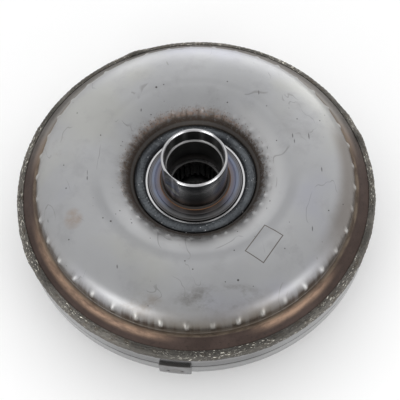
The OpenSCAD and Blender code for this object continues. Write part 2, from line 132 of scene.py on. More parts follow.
def resampled(path, spacing):
    """The path with points added so that no gap is longer than spacing(r, z)."""
    out = [path[0]]
    for (r0, z0), (r1, z1) in zip(path, path[1:]):
        length = math.hypot(r1 - r0, z1 - z0)
        n = max(1, math.ceil(length / spacing((r0 + r1) / 2, (z0 + z1) / 2)))
        out += [(r0 + (r1 - r0) * k / n, z0 + (z1 - z0) * k / n) for k in range(1, n + 1)]
    return out


def noise_1d(x, seed):
    """Smooth periodic noise of an angle x in radians, about -1 to 1."""
    rng = np.random.default_rng(seed)
    out = np.zeros_like(x)
    for k in range(4):
        waves = rng.integers(3 * 2 ** k, 6 * 2 ** k, 4)
        phases = rng.uniform(0, 2 * math.pi, 4)
        out += sum(np.sin(w * x + p) for w, p in zip(waves, phases)) / (4 * 1.5 ** k)
    return out


def spoke_axes(angle):
    """Unit directions outwards from the axis and round it, at an angle in radians."""
    out = np.array([math.cos(angle), math.sin(angle), 0.0])
    return out, np.array([-math.sin(angle), math.cos(angle), 0.0])


def round_corner(u, v, half_u, half_v, corner):
    """A point of a rectangle's grid, pulled in where its corner is rounded."""
    du, dv = max(0.0, abs(u) - half_u + corner), max(0.0, abs(v) - half_v + corner)
    far = math.hypot(du, dv)
    if far > corner:
        u -= math.copysign(du * (1 - corner / far), u)
        v -= math.copysign(dv * (1 - corner / far), v)
    return u, v


# -------- meshes

def make_mesh(name, verts, faces, body, material, sharp=35.0):
    """A mesh object from millimetre vertices, riding on a body."""
    mesh = bpy.data.meshes.new(name)
    mesh.from_pydata([tuple(v) for v in np.asarray(verts) * MM], [], faces)
    mesh.validate()
    mesh.update()
    mesh.shade_smooth()
    mesh.set_sharp_from_angle(angle=math.radians(sharp))
    mesh.materials.append(material)
    obj = bpy.data.objects.new(name, mesh)
    bpy.context.scene.collection.objects.link(obj)
    if body:
        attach(obj, body)
    return obj


def revolved(path, segments, shape=None, closed=True):
    """Vertices and faces of a (r, z) path turned about Z. shape(r, z, angle) may move the
    points of one ring of angles. A closed path makes a ring, an open one needs r = 0 ends."""
    angle = np.linspace(0, 2 * math.pi, segments, endpoint=False)
    rows, tips = [], {}
    verts = []
    for i, (r, z) in enumerate(path):
        if r < 1e-6:
            tips[i] = len(verts)
            verts.append((0.0, 0.0, z))
            rows.append(None)
            continue
        rr, zz = np.full(segments, float(r)), np.full(segments, float(z))
        if shape:
            rr, zz = shape(rr, zz, angle)
        rows.append(len(verts))
        verts += list(zip(rr * np.cos(angle), rr * np.sin(angle), zz))
    faces = []
    n = len(path)
    for i in range(n if closed else n - 1):
        j = (i + 1) % n
        for k in range(segments):
            m = (k + 1) % segments
            if rows[i] is None and rows[j] is None:
                break
            if rows[i] is None:
                faces.append((tips[i], rows[j] + m, rows[j] + k))
            elif rows[j] is None:
                faces.append((rows[i] + k, rows[i] + m, tips[j]))
            else:
                faces.append((rows[i] + k, rows[i] + m, rows[j] + m, rows[j] + k))
    return verts, faces


def tube(centres, sides_of, radius, sides):
    """Vertices and faces of a capped round tube. sides_of gives each centre's two cross axes."""
    verts, faces = [], []
    for c, (a, b) in zip(centres, sides_of):
        for k in range(sides):
            t = 2 * math.pi * k / sides
            verts.append(np.asarray(c) + radius * (math.cos(t) * a + math.sin(t) * b))
    for i in range(len(centres) - 1):
        for k in range(sides):
            m = (k + 1) % sides
            faces.append((i * sides + k, i * sides + m, (i + 1) * sides + m, (i + 1) * sides + k))
    faces.append(tuple(range(sides))[::-1])
    faces.append(tuple((len(centres) - 1) * sides + k for k in range(sides)))
    return verts, faces


# -------- node materials

def grey(value):
    return (value, value, value)


def scaled(colour, by):
    return tuple(c * by for c in colour)


class Graph:
    """A small writer of shader node trees."""

    def __init__(self, name):
        self.material = bpy.data.materials.new(name)
        self.material.use_nodes = True
        self.tree = self.material.node_tree
        self.tree.nodes.clear()
        self.shader = self.node("ShaderNodeBsdfPrincipled")
        out = self.node("ShaderNodeOutputMaterial")
        self.link(self.shader.outputs[0], out.inputs[0])
        self.place = self.node("ShaderNodeTexCoord").outputs["Object"]
        self.tone = grey(0.5)

    def node(self, kind, **settings):
        n = self.tree.nodes.new(kind)
        for key, value in settings.items():
            setattr(n, key, value)
        return n

    def link(self, a, b):
        self.tree.links.new(a, b)

    def put(self, socket, value):
        """Links an output to a socket, or sets the socket to a plain value."""
        if hasattr(value, "is_output"):
            self.link(value, socket)
        elif isinstance(value, (tuple, list)) and len(value) == 3 and socket.type == "RGBA":
            socket.default_value = (*value, 1.0)
        else:
            socket.default_value = value

    def math(self, op, a, b=0.0):
        n = self.node("ShaderNodeMath", operation=op)
        self.put(n.inputs[0], a)
        self.put(n.inputs[1], b)
        return n.outputs[0]

    def add(self, a, b):
        return self.math("ADD", a, b)

    def sub(self, a, b):
        return self.math("SUBTRACT", a, b)

    def mul(self, a, b):
        return self.math("MULTIPLY", a, b)

    def div(self, a, b):
        return self.math("DIVIDE", a, b)

    def larger(self, a, b):
        return self.math("MAXIMUM", a, b)

    def absolute(self, a):
        return self.math("ABSOLUTE", a)

    def mix(self, fac, a, b):
        n = self.node("ShaderNodeMix", data_type="RGBA")
        self.put(n.inputs[0], fac)
        self.put(n.inputs[6], a)
        self.put(n.inputs[7], b)
        return n.outputs[2]

    def paint(self, under, mask, share, colour):
        """One colour laid over another: where the mask is 1 it covers that share of it."""
        return self.mix(self.mul(mask, share), under, colour)

    def coat(self, mask, colour, share=None):
        """Lays a colour, or a share of it, over the material's own tone where the mask is 1."""
        self.tone = self.mix(self.mul(mask, share) if share else mask, self.tone, colour)

    def blend(self, fac, a, b):
        n = self.node("ShaderNodeMix", data_type="FLOAT")
        self.put(n.inputs[0], fac)
        self.put(n.inputs[2], a)
        self.put(n.inputs[3], b)
        return n.outputs[0]

    def step(self, value, lo, hi, smooth=True):
        """0 below lo, 1 above hi (or the other way round if lo > hi)."""
        n = self.node("ShaderNodeMapRange", interpolation_type="SMOOTHSTEP" if smooth else "LINEAR")
        self.put(n.inputs[0], value)
        if lo <= hi:
            ends = (lo, hi, 0.0, 1.0)
        else:
            ends = (hi, lo, 1.0, 0.0)
        for k, end in enumerate(ends):
            n.inputs[k + 1].default_value = end
        return n.outputs[0]

    def ramp(self, value, stops):
        """Colours at given values from 0 to 1, with even changes between them."""
        n = self.node("ShaderNodeValToRGB")
        self.put(n.inputs[0], value)
        ends = n.color_ramp.elements
        ends[0].position, ends[0].color = stops[0][0], (*stops[0][1], 1)
        ends[1].position, ends[1].color = stops[-1][0], (*stops[-1][1], 1)
        for position, colour in stops[1:-1]:
            ends.new(position).color = (*colour, 1)
        return n.outputs[0]

    def noise(self, scale, detail=3.0, rough=0.55, vector=None, distortion=0.0):
        n = self.node("ShaderNodeTexNoise")
        self.put(n.inputs["Vector"], vector or self.place)
        n.inputs["Scale"].default_value = scale
        n.inputs["Detail"].default_value = detail
        n.inputs["Roughness"].default_value = rough
        n.inputs["Distortion"].default_value = distortion
        return n.outputs["Fac"]

    def cells(self, scale, vector=None):
        n = self.node("ShaderNodeTexVoronoi")
        self.put(n.inputs["Vector"], vector or self.place)
        n.inputs["Scale"].default_value = scale
        return n.outputs["Distance"], n.outputs["Color"]

    def split(self, vector=None):
        n = self.node("ShaderNodeSeparateXYZ")
        self.put(n.inputs[0], vector or self.place)
        return n.outputs

    def join(self, x, y, z):
        n = self.node("ShaderNodeCombineXYZ")
        for socket, value in zip(n.inputs, (x, y, z)):
            self.put(socket, value)
        return n.outputs[0]

    def stretched(self, scale, angle=0.0):
        """The object's coordinates scaled by axis and turned, for drawn-out patterns."""
        n = self.node("ShaderNodeMapping")
        self.put(n.inputs["Vector"], self.place)
        n.inputs["Rotation"].default_value = (0, 0, math.radians(angle))
        n.inputs["Scale"].default_value = scale
        return n.outputs[0]

    def millimetres(self):
        """x, y and z in mm."""
        return [self.mul(value, 1000.0) for value in self.split()]

    def polar(self):
        """Radius and height in mm, and the unit direction (x, y) from the axis."""
        x, y, z = self.split()
        r = self.math("SQRT", self.add(self.mul(x, x), self.mul(y, y)))
        safe = self.larger(r, 1e-5)
        return self.mul(r, 1000.0), self.mul(z, 1000.0), self.div(x, safe), self.div(y, safe)

    def heading(self):
        """Direction round the axis in degrees, -180 to 180."""
        x, y, _ = self.split()
        return self.mul(self.math("ARCTAN2", y, x), math.degrees(1.0))

    def window(self, value, a, b, c, d):
        """Rises from a to b and falls from c to d."""
        return self.mul(self.step(value, a, b), self.step(value, d, c))

    def spot(self, x, y, centre, reach):
        """1 at the centre (x, y), falling to 0 at its reach either way."""
        dx = self.div(self.sub(x, centre[0]), reach[0])
        dy = self.div(self.sub(y, centre[1]), reach[1])
        far = self.add(self.mul(dx, dx), self.mul(dy, dy))
        return self.step(far, 1.0, 0.1)

    def bump(self, height, distance):
        """A bump of the given height in mm."""
        n = self.node("ShaderNodeBump")
        n.inputs["Strength"].default_value = 1.0
        n.inputs["Distance"].default_value = distance * MM
        self.put(n.inputs["Height"], height)
        return n.outputs[0]

    def finish(self, rough, metallic=1.0, normal=None):
        """Sends the tone, roughness and bump to the shader, and returns the material."""
        self.put(self.shader.inputs["Base Color"], self.tone)
        self.put(self.shader.inputs["Roughness"], rough)
        self.put(self.shader.inputs["Metallic"], metallic)
        if normal:
            self.put(self.shader.inputs["Normal"], normal)
        return self.material


def turned_steel(name, colour, rough=0.3):
    """Machined steel with fine tool marks that run round the axis, and faint grime."""
    g = Graph(name)
    pitch, groove, grime = 0.25, 0.004, 0.25
    r, z, _, _ = g.polar()
    marks = g.noise(1.0, 3.0, 0.7, g.join(g.div(r, pitch), g.div(z, pitch), 0.0))
    cloud = g.noise(45.0, 4.0)
    dark = scaled(colour, 1 - grime)
    g.tone = g.mix(g.step(cloud, 0.35, 0.7), colour, dark)
    g.coat(marks, scaled(colour, 0.6), 0.25)
    fine = g.blend(marks, rough * 0.75, rough * 1.25)
    return g.finish(fine, 1.0, g.bump(marks, groove))


def stamped_steel(name, colour, rough=0.42, tint=(0.3, 0.24, 0.18)):
    """Pressed sheet steel: cloudy tone, faint scuffs and small pits."""
    g = Graph(name)
    cloud = g.noise(30.0, 5.0, 0.6)
    scuffs = g.noise(260.0, 2.0, 0.5, g.stretched((1.0, 0.12, 1.0), 25.0))
    pits, _ = g.cells(420.0)
    g.tone = g.mix(g.step(cloud, 0.4, 0.75), colour, tint)
    g.coat(g.step(scuffs, 0.66, 0.74), tuple(min(1.0, c * 1.35) for c in colour))
    height = g.add(g.mul(scuffs, 0.4), g.step(pits, 0.0, 0.12))
    return g.finish(g.blend(cloud, rough * 0.8, rough * 1.3), 1.0, g.bump(height, 0.015))


def cast_metal(name, colour, rough=0.5):
    """Sand or die cast metal with a fine orange-peel skin."""
    g = Graph(name)
    skin = g.noise(900.0, 3.0)
    cloud = g.noise(40.0, 3.0)
    g.tone = g.mix(cloud, colour, scaled(colour, 0.72))
    return g.finish(g.blend(skin, rough * 0.8, rough * 1.2), 1.0, g.bump(skin, 0.03))


def weld_metal(name, colour, fleck, share=0.10, along=1.0):
    """Rough oxidised weld bead: dark grains, rust in places, bright spatter in patches. share
    sets how much spatter there is, and along stretches the grain round the axis."""
    g = Graph(name)
    rust, rough = (0.085, 0.065, 0.045), 0.6
    r, z, _, _ = g.polar()
    arc_len = g.mul(g.heading(), math.radians(RIM_R))
    bead = g.join(g.div(arc_len, along), r, z)
    lumps = g.noise(0.30, 5.0, 0.7, bead)
    grain = g.noise(1.1, 4.0, 0.7, bead)
    cloud = g.noise(50.0, 4.0, 0.6)
    patch = g.step(g.noise(0.05, 3.0, 0.6, bead), 0.45, 0.55)
    runs = g.noise(1.5, 2.5, 0.6, g.join(g.div(arc_len, along * 2.4), r, z))
    spark = g.mul(g.step(runs, 0.70 - share, 0.75 - share), g.blend(patch, 0.06, 1.0))
    # painted shade: the bead is darker on the side towards the front
    front = g.window(g.heading(), -125.0, -100.0, -70.0, -45.0)
    outer = g.step(r, RIM_R - 2.6, RIM_R - 1.2)
    g.tone = g.mix(g.step(cloud, 0.35, 0.7), colour, scaled(colour, 1.9))
    g.coat(g.step(lumps, 0.50, 0.66), rust, 0.7)
    g.coat(g.step(grain, 0.48, 0.64), scaled(colour, 0.25), 0.6)
    g.coat(front, scaled(colour, 0.45), 0.45)
    g.coat(outer, scaled(colour, 2.4), 0.30)
    g.coat(spark, fleck)
    height = g.add(g.mul(lumps, 1.4), g.mul(grain, 0.4))
    height = g.add(height, g.mul(spark, 0.4))
    return g.finish(g.blend(spark, rough, 0.3), 0.8, g.bump(height, 0.30))


# -------- impeller shell

def shell_steel():
    """Pressed steel shell: satin grey with faint tints, brown soot round the hub, a brown
    flange with a coppery ridge, smudges near the wall, scratches and pits."""
    g = Graph("shell_steel")
    r, z, cx, cy = g.polar()
    x, y, _ = g.millimetres()
    cloud = g.noise(16.0, 4.0, 0.6)
    tint = g.noise(11.0, 3.0, 0.55)
    mottle = g.noise(55.0, 5.0, 0.65)
    near = g.larger(g.step(cy, -0.25, -0.90), g.step(cx, 0.30, 0.75))
    far = g.step(cy, 0.30, 0.95)
    g.tone = g.mix(g.step(cloud, 0.35, 0.7), (0.355, 0.358, 0.366), (0.318, 0.321, 0.328))
    g.coat(g.step(tint, 0.52, 0.68), (0.300, 0.305, 0.360), 0.45)
    g.coat(g.step(tint, 0.47, 0.32), (0.350, 0.348, 0.312), 0.40)
    g.coat(g.step(mottle, 0.50, 0.70), (0.26, 0.26, 0.265), 0.35)
    # painted shade: the shoulder darkens towards the wall; drips and streaks run down it
    low_shade = g.step(z, W + 30.0, W + 13.0)
    g.coat(low_shade, (0.215, 0.203, 0.190), 0.50)
    run = g.noise(1.0, 3.0, 0.6, g.join(g.mul(cx, 26.0), g.mul(cy, 26.0), g.mul(r, 0.02)))
    stain = g.mul(g.step(run, 0.42, 0.70), g.step(z, W + 25.0, W + 15.0))
    g.coat(stain, (0.115, 0.092, 0.076), 0.6)
    # painted light: a lighter band round the hub on the near side
    near_hub_light = g.mul(g.window(r, 46.0, 50.0, 56.0, 66.0), near)
    g.coat(near_hub_light, (0.46, 0.46, 0.463), 0.7)
    # darker brown by the wall on the right, and dirt by the wall in front
    turned = g.heading()
    right = g.mul(g.window(turned, -48.0, -20.0, 8.0, 22.0), g.step(r, 97.0, 107.0))
    g.coat(right, (0.15, 0.125, 0.105), 0.62)
    grimy = g.mul(g.window(turned, -118.0, -97.0, -68.0, -52.0),
                  g.step(g.add(z, g.mul(mottle, 10.0)), W + 35.0, W + 23.0))
    g.coat(grimy, (0.135, 0.117, 0.092), 0.70)
    stained = g.mul(g.step(run, 0.40, 0.60), g.window(turned, -142.0, -122.0, -48.0, -30.0))
    stained = g.mul(stained, g.step(g.add(z, g.mul(mottle, 8.0)), W + 25.0, W + 18.0))
    g.coat(stained, (0.085, 0.066, 0.050), 0.75)
    # painted highlight on top of the tab marks, varying round the shell, and painted shadow below them
    tab = g.math("FRACT", g.add(g.div(g.sub(turned, BLADE_START), 360.0 / BLADES), 0.5))
    tab = g.step(g.absolute(g.sub(tab, 0.5)), 0.125, 0.055)
    tab_highlight = g.mul(tab, g.window(z, W + 14.6, W + 16.6, W + 19.2, W + 22.0))
    tab_shadow = g.mul(tab, g.window(z, W + 10.4, W + 12.0, W + 13.6, W + 15.0))
    tab_highlight_vary = g.noise(1.0, 2.0, 0.5, g.join(g.mul(turned, 0.09), 0.0, 0.0))
    g.coat(g.mul(tab_highlight, g.blend(g.step(tab_highlight_vary, 0.35, 0.65), 0.18, 0.55)), (0.58, 0.58, 0.56))
    g.coat(tab_shadow, (0.050, 0.042, 0.036), 0.75)
    # painted shade in the press ring on the near side, and dull patches and smudges
    press = g.mul(g.window(r, 64.0, 68.5, 70.5, 76.0), g.step(cy, 0.05, -0.40))
    g.coat(press, (0.235, 0.238, 0.246), 0.5)
    smudge = g.step(g.noise(38.0, 5.0, 0.7, g.stretched((1.0, 1.6, 1.0), 30.0)), 0.42, 0.68)
    # each patch: centre and reach in mm, colour, share
    for at, reach, colour, share in (((12.0, -97.0), (36.0, 11.0), (0.130, 0.122, 0.110), 0.75),
                                     ((-40.0, -98.0), (18.0, 9.0), (0.200, 0.165, 0.130), 0.55),
                                     ((-84.0, -36.0), (8.0, 9.0), (0.270, 0.200, 0.150), 0.55),
                                     ((-97.0, 26.0), (7.0, 18.0), (0.240, 0.210, 0.175), 0.45),
                                     ((72.0, 34.0), (18.0, 20.0), (0.270, 0.268, 0.270), 0.45)):
        patch = g.mul(g.spot(x, y, at, reach), g.mul(smudge, share))
        g.coat(patch, colour)
    # pits, short strokes and scratches
    dark = []
    for scale, share, size in ((150.0, 0.965, 0.15), (320.0, 0.955, 0.20)):
        pits, pick = g.cells(scale)
        dark.append(g.mul(g.step(pits, size, size * 0.5), g.step(g.split(pick)[1], share, share + 0.01)))
    pit = g.larger(dark[0], dark[1])
    g.coat(pit, (0.030, 0.024, 0.022), 0.85)
    cuts = []
    for scale, turn, share in (((1.0, 0.16, 1.0), 18.0, 0.93), ((1.0, 0.20, 1.0), 96.0, 0.90),
                               ((1.0, 0.24, 1.0), -52.0, 0.90)):
        line, pick = g.cells(170.0, g.stretched(scale, turn))
        cuts.append(g.mul(g.step(line, 0.10, 0.04), g.step(g.split(pick)[0], share, share + 0.01)))
    cut = g.larger(g.larger(cuts[0], cuts[1]), cuts[2])
    g.coat(cut, (0.080, 0.078, 0.080), 0.75)
    hair = g.noise(24.0, 3.0, 0.5, g.stretched((1.0, 0.6, 1.0), 35.0), 0.6)
    hair = g.step(g.absolute(g.sub(hair, 0.5)), 0.006, 0.002)
    hair = g.mul(hair, g.step(g.noise(45.0, 2.0), 0.54, 0.62))
    g.coat(hair, (0.17, 0.165, 0.16), 0.45)
    # soot round the hub weld: grainy, wider on the near side, copper on the far side
    streak = g.noise(1.0, 4.0, 0.65, g.join(g.mul(cx, 16.0), g.mul(cy, 16.0), g.mul(r, 0.10)))
    dust = g.noise(480.0, 4.0, 0.75)
    edge = g.add(r, g.mul(g.sub(streak, 0.5), g.blend(near, 6.0, 4.0)))
    edge = g.add(edge, g.mul(g.sub(dust, 0.5), 12.0))
    fade = g.div(g.sub(edge, 46.4), g.blend(near, 8.2, 5.0))
    soot = g.step(fade, 1.0, 0.0)
    copper = g.mul(g.mul(far, g.step(streak, 0.34, 0.54)), g.window(r, 48.0, 49.6, 51.5, 54.5))
    soot_tone = g.mix(g.step(r, 47.0, 53.0), (0.058, 0.037, 0.025), (0.180, 0.130, 0.094))
    soot_tone = g.mix(copper, soot_tone, (0.30, 0.185, 0.125))
    soot_tone = g.mix(g.step(dust, 0.50, 0.66), soot_tone, (0.045, 0.035, 0.029))
    soot_tone = g.paint(soot_tone, g.step(dust, 0.46, 0.34), 0.5, (0.16, 0.14, 0.12))
    pale = g.mul(g.step(r, 44.2, 44.6), g.step(r, 46.4, 45.4))
    soot_tone = g.paint(soot_tone, pale, 0.7, (0.17, 0.16, 0.15))
    soot_tone = g.mix(g.step(r, 44.2, 43.9), soot_tone, (0.022, 0.020, 0.018))
    g.coat(soot, soot_tone, 0.94)
    drops, pick = g.cells(640.0)
    splat = g.mul(g.step(drops, 0.36, 0.22), g.step(g.split(pick)[2], 0.55, 0.57))
    splat = g.mul(splat, g.window(r, 47.0, 49.0, 50.0, 57.0))
    g.coat(splat, (0.13, 0.080, 0.055), 0.75)
    # flange: chocolate oxide in front, made greyer behind by painted reflection, and a tan and copper ridge
    # by the crease with painted highlight on it
    band = g.noise(1.0, 4.0, 0.7, g.join(g.mul(turned, 0.16), g.mul(r, 0.25), 0.0))
    # painted reflection: the far side of the flange is greyer and lighter
    behind = g.step(cy, 0.02, 0.50)
    brown = g.mix(g.step(mottle, 0.35, 0.7), (0.046, 0.031, 0.026), (0.066, 0.045, 0.038))
    brown = g.mix(behind, brown,
                  g.mix(g.step(mottle, 0.35, 0.7), (0.086, 0.078, 0.071), (0.120, 0.111, 0.103)))
    brown = g.paint(brown, g.step(dust, 0.52, 0.66), 0.5, (0.026, 0.020, 0.017))
    # painted highlight: the copper ridge is lit at the headings where the front lamps fall, and lighter
    # behind by painted reflection
    lit = g.add(g.window(turned, -172.0, -150.0, -110.0, -96.0),
                g.window(turned, -76.0, -66.0, -52.0, -34.0))
    lit = g.mul(lit, g.blend(g.step(band, 0.34, 0.62), 0.45, 1.0))
    copper_ridge_highlight = g.mul(g.window(r, 114.0, 115.6, 117.6, 121.8), g.larger(lit, behind))
    brown = g.paint(brown, copper_ridge_highlight, 0.85, g.mix(behind, (0.37, 0.245, 0.170), (0.20, 0.188, 0.175)))
    # painted highlight along the ridge's inner edge, over tan oxide
    ridge_edge_highlight = g.mul(g.window(r, 113.8, 114.8, 115.8, 117.4),
                      g.blend(g.step(band, 0.40, 0.60), 0.25, 0.75))
    brown = g.mix(ridge_edge_highlight, brown, (0.22, 0.175, 0.130))
    # painted shade in the crease at the foot of the wall, over brown
    crease = g.mul(g.step(z, W + 14.5, W + 11.6), g.step(r, 111.5, 113.2))
    g.coat(crease, (0.150, 0.125, 0.100), 0.65)
    g.coat(g.step(r, 113.4, 115.2), brown)
    # etched square mark, left blank
    turn = math.radians(ETCH_TURN)
    u = g.sub(x, ETCH_X)
    v = g.sub(y, ETCH_Y)
    p = g.add(g.mul(u, math.cos(turn)), g.mul(v, math.sin(turn)))
    q = g.sub(g.mul(v, math.cos(turn)), g.mul(u, math.sin(turn)))
    p = g.sub(g.absolute(p), ETCH_HALF[0])
    q = g.sub(g.absolute(q), ETCH_HALF[1])
    frame_line = g.absolute(g.larger(p, q))
    etched = g.step(frame_line, 0.42, 0.20)
    g.coat(etched, (0.075, 0.060, 0.048), 0.85)
    # soot, the crease with its painted shade, and the oxide are duller and rougher than the bare steel
    dull = g.larger(g.larger(soot, crease), g.step(r, 113.2, 114.2))
    rough = g.blend(cloud, 0.39, 0.49)
    rough = g.blend(dull, rough, g.blend(mottle, 0.40, 0.56))
    grain = g.noise(700.0, 4.0, 0.6)
    height = g.add(g.mul(grain, g.blend(dull, 0.3, 1.4)), g.mul(mottle, 1.2))
    height = g.add(height, g.mul(g.mul(dust, soot), 1.5))
    height = g.sub(height, g.mul(g.add(pit, g.add(cut, etched)), 1.5))
    return g.finish(rough, g.blend(dull, 1.0, 0.7), g.bump(height, 0.04))


def shoulder_arc():
    """Angle at which the shell's outer bend runs into its shoulder, and the height of the
    shoulder's centre."""
    gap = OUTER_BEND - SHOULDER_BEND
    angle = math.degrees(math.acos((SHOULDER_R - CREST_R) / gap))
    return angle, CREST_Z - OUTER_BEND + gap * math.sin(math.radians(angle))


def shell_outer_path():
    """Outer surface of the impeller shell, from the hub weld out to the lip in the cover."""
    flat_z = W + 16.0
    shoulder_a, shoulder_z = shoulder_arc()
    path = [(THROAT_R, flat_z), (42.5, flat_z), (43.6, flat_z + 0.5)]
    path += arc(CREST_R, CREST_Z - INNER_BEND, INNER_BEND, 150.0, 90.0, 26)
    path += arc(CREST_R, CREST_Z - OUTER_BEND, OUTER_BEND, 90.0, shoulder_a, 16, 1)
    path += arc(SHOULDER_R, shoulder_z, SHOULDER_BEND, shoulder_a, 0.0, 20, 1)
    flange = [path[-1], (WALL_R, W + 9.9, 2.4), (WALL_R + 3.4, W + 10.4, 3.2),
              (WALL_R + 6.5, W + 8.0, 4.0), (LIP_R, W + 5.2), (LIP_R, W - 8.0)]
    return path[:-1] + rounded(flange, 12.0)


def shell_inner_path():
    """Inner surface of the impeller shell, from the lip back to the hub weld."""
    t, inner_z = SHELL_T, W + 13.0
    shoulder_a, shoulder_z = shoulder_arc()
    path = [(LIP_R - t, W - 8.0), (LIP_R - t, W + 3.0), (WALL_R - 1.0, W + 7.2), (WALL_R - t, W + 8.6)]
    path += arc(SHOULDER_R, shoulder_z, SHOULDER_BEND - t, 0.0, shoulder_a, 10)
    path += arc(CREST_R, CREST_Z - OUTER_BEND, OUTER_BEND - t, shoulder_a, 90.0, 8, 1)
    path += arc(CREST_R, CREST_Z - INNER_BEND, INNER_BEND - t, 90.0, 154.0, 14, 1)
    return path + [(45.0, inner_z), (THROAT_R, inner_z)]


def tab_marks(r, z, angle, row):
    """Raised blade-tab marks of one row: how far each point of a ring stands out."""
    row_r, row_z, half_len, half_w, rise = row
    pitch = 2 * math.pi / BLADES
    start = math.radians(BLADE_START)
    off = (angle - start + pitch / 2) % pitch - pitch / 2
    across = off * r / half_w
    along = np.hypot(r - row_r, z - row_z) / half_len
    uneven = 1.0 + 0.25 * np.sin(np.round((angle - start) / pitch) * 2.4)
    return rise * uneven * np.exp(-across ** 2 - along ** 2)


def shell_normal(r, z):
    """Outward direction of the shell's outer surface at a point on it."""
    if r <= CREST_R:
        d = np.array([r - CREST_R, z - (CREST_Z - INNER_BEND)])
    elif z > W + 27.3:
        d = np.array([r - CREST_R, z - (CREST_Z - OUTER_BEND)])
    else:
        d = np.array([r - SHOULDER_R, max(0.0, z - (W + 11.66))])
    return d / np.linalg.norm(d)


def shell_shape(r, z, angle):
    """Tab marks, a shallow press ring and slight waviness of the outer surface."""
    r0, z0 = r[0], z[0]
    weld_r, press_r, press_w = 44.0, 70.0, 2.6
    if r0 < weld_r or r0 > WALL_R + 0.01 or z0 < W + 10.8:
        return r, z
    out = sum(tab_marks(r, z, angle, row) for row in TAB_ROWS)
    out += 0.08 * noise_1d(angle, 5) * min(1.0, (r0 - weld_r) / 20.0)
    out -= 0.22 * math.exp(-((r0 - press_r) / press_w) ** 2)
    nr, nz = shell_normal(r0, z0)
    return r + nr * out, z + nz * out


def build_shell(material):
    """Pressed impeller shell, with finer rings where the tab marks and the press ring are."""
    def spacing(r, z):
        if 47.0 < r < 55.0 or (r > 106.5 and z > W + 13.0 and r < 113.6):
            return 0.55
        return 1.0 if 62.0 < r < 78.0 else 2.2

    path = resampled(shell_outer_path(), spacing) + shell_inner_path()
    verts, faces = revolved(path, BLADES * 24, shell_shape)
    shell = make_mesh("impeller_shell_skin", verts, faces, "housing", material, 40.0)
    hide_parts("impeller_shell")


# -------- rim and hub welds

def build_closure_weld(material):
    """Rough bead round the rim, with overlapping ripples and the lumps of its start and end."""
    ends = [(LIP_R, W - 2.0), (LIP_R, W + 5.1)]
    crown = [(LIP_R + 0.2, W + 5.5), (126.3, W + 5.3), (127.7, W + 4.4), (128.8, W + 3.2),
             (129.5, W + 1.8), (129.75, W + 0.3), (129.6, W - 1.0), (COVER_R, W - 2.1)]
    path = resampled(crown, lambda r, z: 0.45)
    # heading and width in degrees, and rise
    lumps = ((16.0, 3.5, 0.9), (25.0, 3.0, 0.6), (-159.0, 8.0, 0.8), (110.0, 3.5, 1.1), (-72.0, 5.0, 0.3))

    def shape(r, z, angle):
        r0, z0 = r[0], z[0]
        if r0 <= LIP_R + 0.05:
            return r, z
        inside = min(1.0, (r0 - LIP_R) / 1.5, max(0.0, (z0 - W + 2.0) / 1.2))
        ripple = np.abs(np.sin(angle * 105 + 0.35 * (r0 - LIP_R) + 1.5 * noise_1d(angle, 11)))
        rough = noise_1d(angle * 9 + 0.9 * r0, 23) + 0.8 * noise_1d(angle * 31 + 2.1 * z0, 29)
        out = inside * (0.20 * ripple - 0.22 + 0.20 * rough)
        for centre, width, rise in lumps:
            off = np.degrees((angle - math.radians(centre) + math.pi) % (2 * math.pi) - math.pi)
            out += inside * rise * np.exp(-(off / width) ** 2)
        # nothing stands out of the CAD's box
        reach = RIM_R / np.maximum(np.abs(np.cos(angle)), np.abs(np.sin(angle)))
        out = np.minimum(out, reach - 0.06 - r0)
        lean = np.array([r0 - 124.0, z0 - (W - 1.0)])
        lean /= np.linalg.norm(lean)
        return r + lean[0] * out, z + lean[1] * out

    verts, faces = revolved(ends[::-1] + path, 1200, shape)
    weld = make_mesh("closure_weld_bead", verts, faces, "housing", material, 60.0)
    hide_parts("closure_weld")


def hub_weld_metal():
    """Blue-grey oxidised bead with white specks and a black line at its outer edge."""
    g = Graph("hub_weld_metal")
    r, _, _, _ = g.polar()
    lumps = g.noise(260.0, 4.0, 0.6)
    grain = g.noise(1200.0, 3.0, 0.6)
    cloud = g.noise(70.0, 4.0, 0.6)
    dots, shade = g.cells(900.0)
    speck = g.mul(g.step(dots, 0.40, 0.18), g.step(g.split(shade)[0], 0.93, 0.94))
    g.tone = g.mix(g.step(cloud, 0.35, 0.68), (0.105, 0.115, 0.125), (0.055, 0.060, 0.068))
    g.coat(g.step(lumps, 0.50, 0.70), (0.15, 0.16, 0.17), 0.6)
    g.coat(g.step(grain, 0.52, 0.66), (0.022, 0.022, 0.024), 0.5)
    g.coat(g.step(r, 42.6, 43.4), (0.012, 0.012, 0.012))
    g.coat(speck, (0.55, 0.56, 0.58))
    height = g.add(lumps, g.mul(grain, 0.4))
    return g.finish(g.blend(lumps, 0.34, 0.55), 0.85, g.bump(height, 0.16))


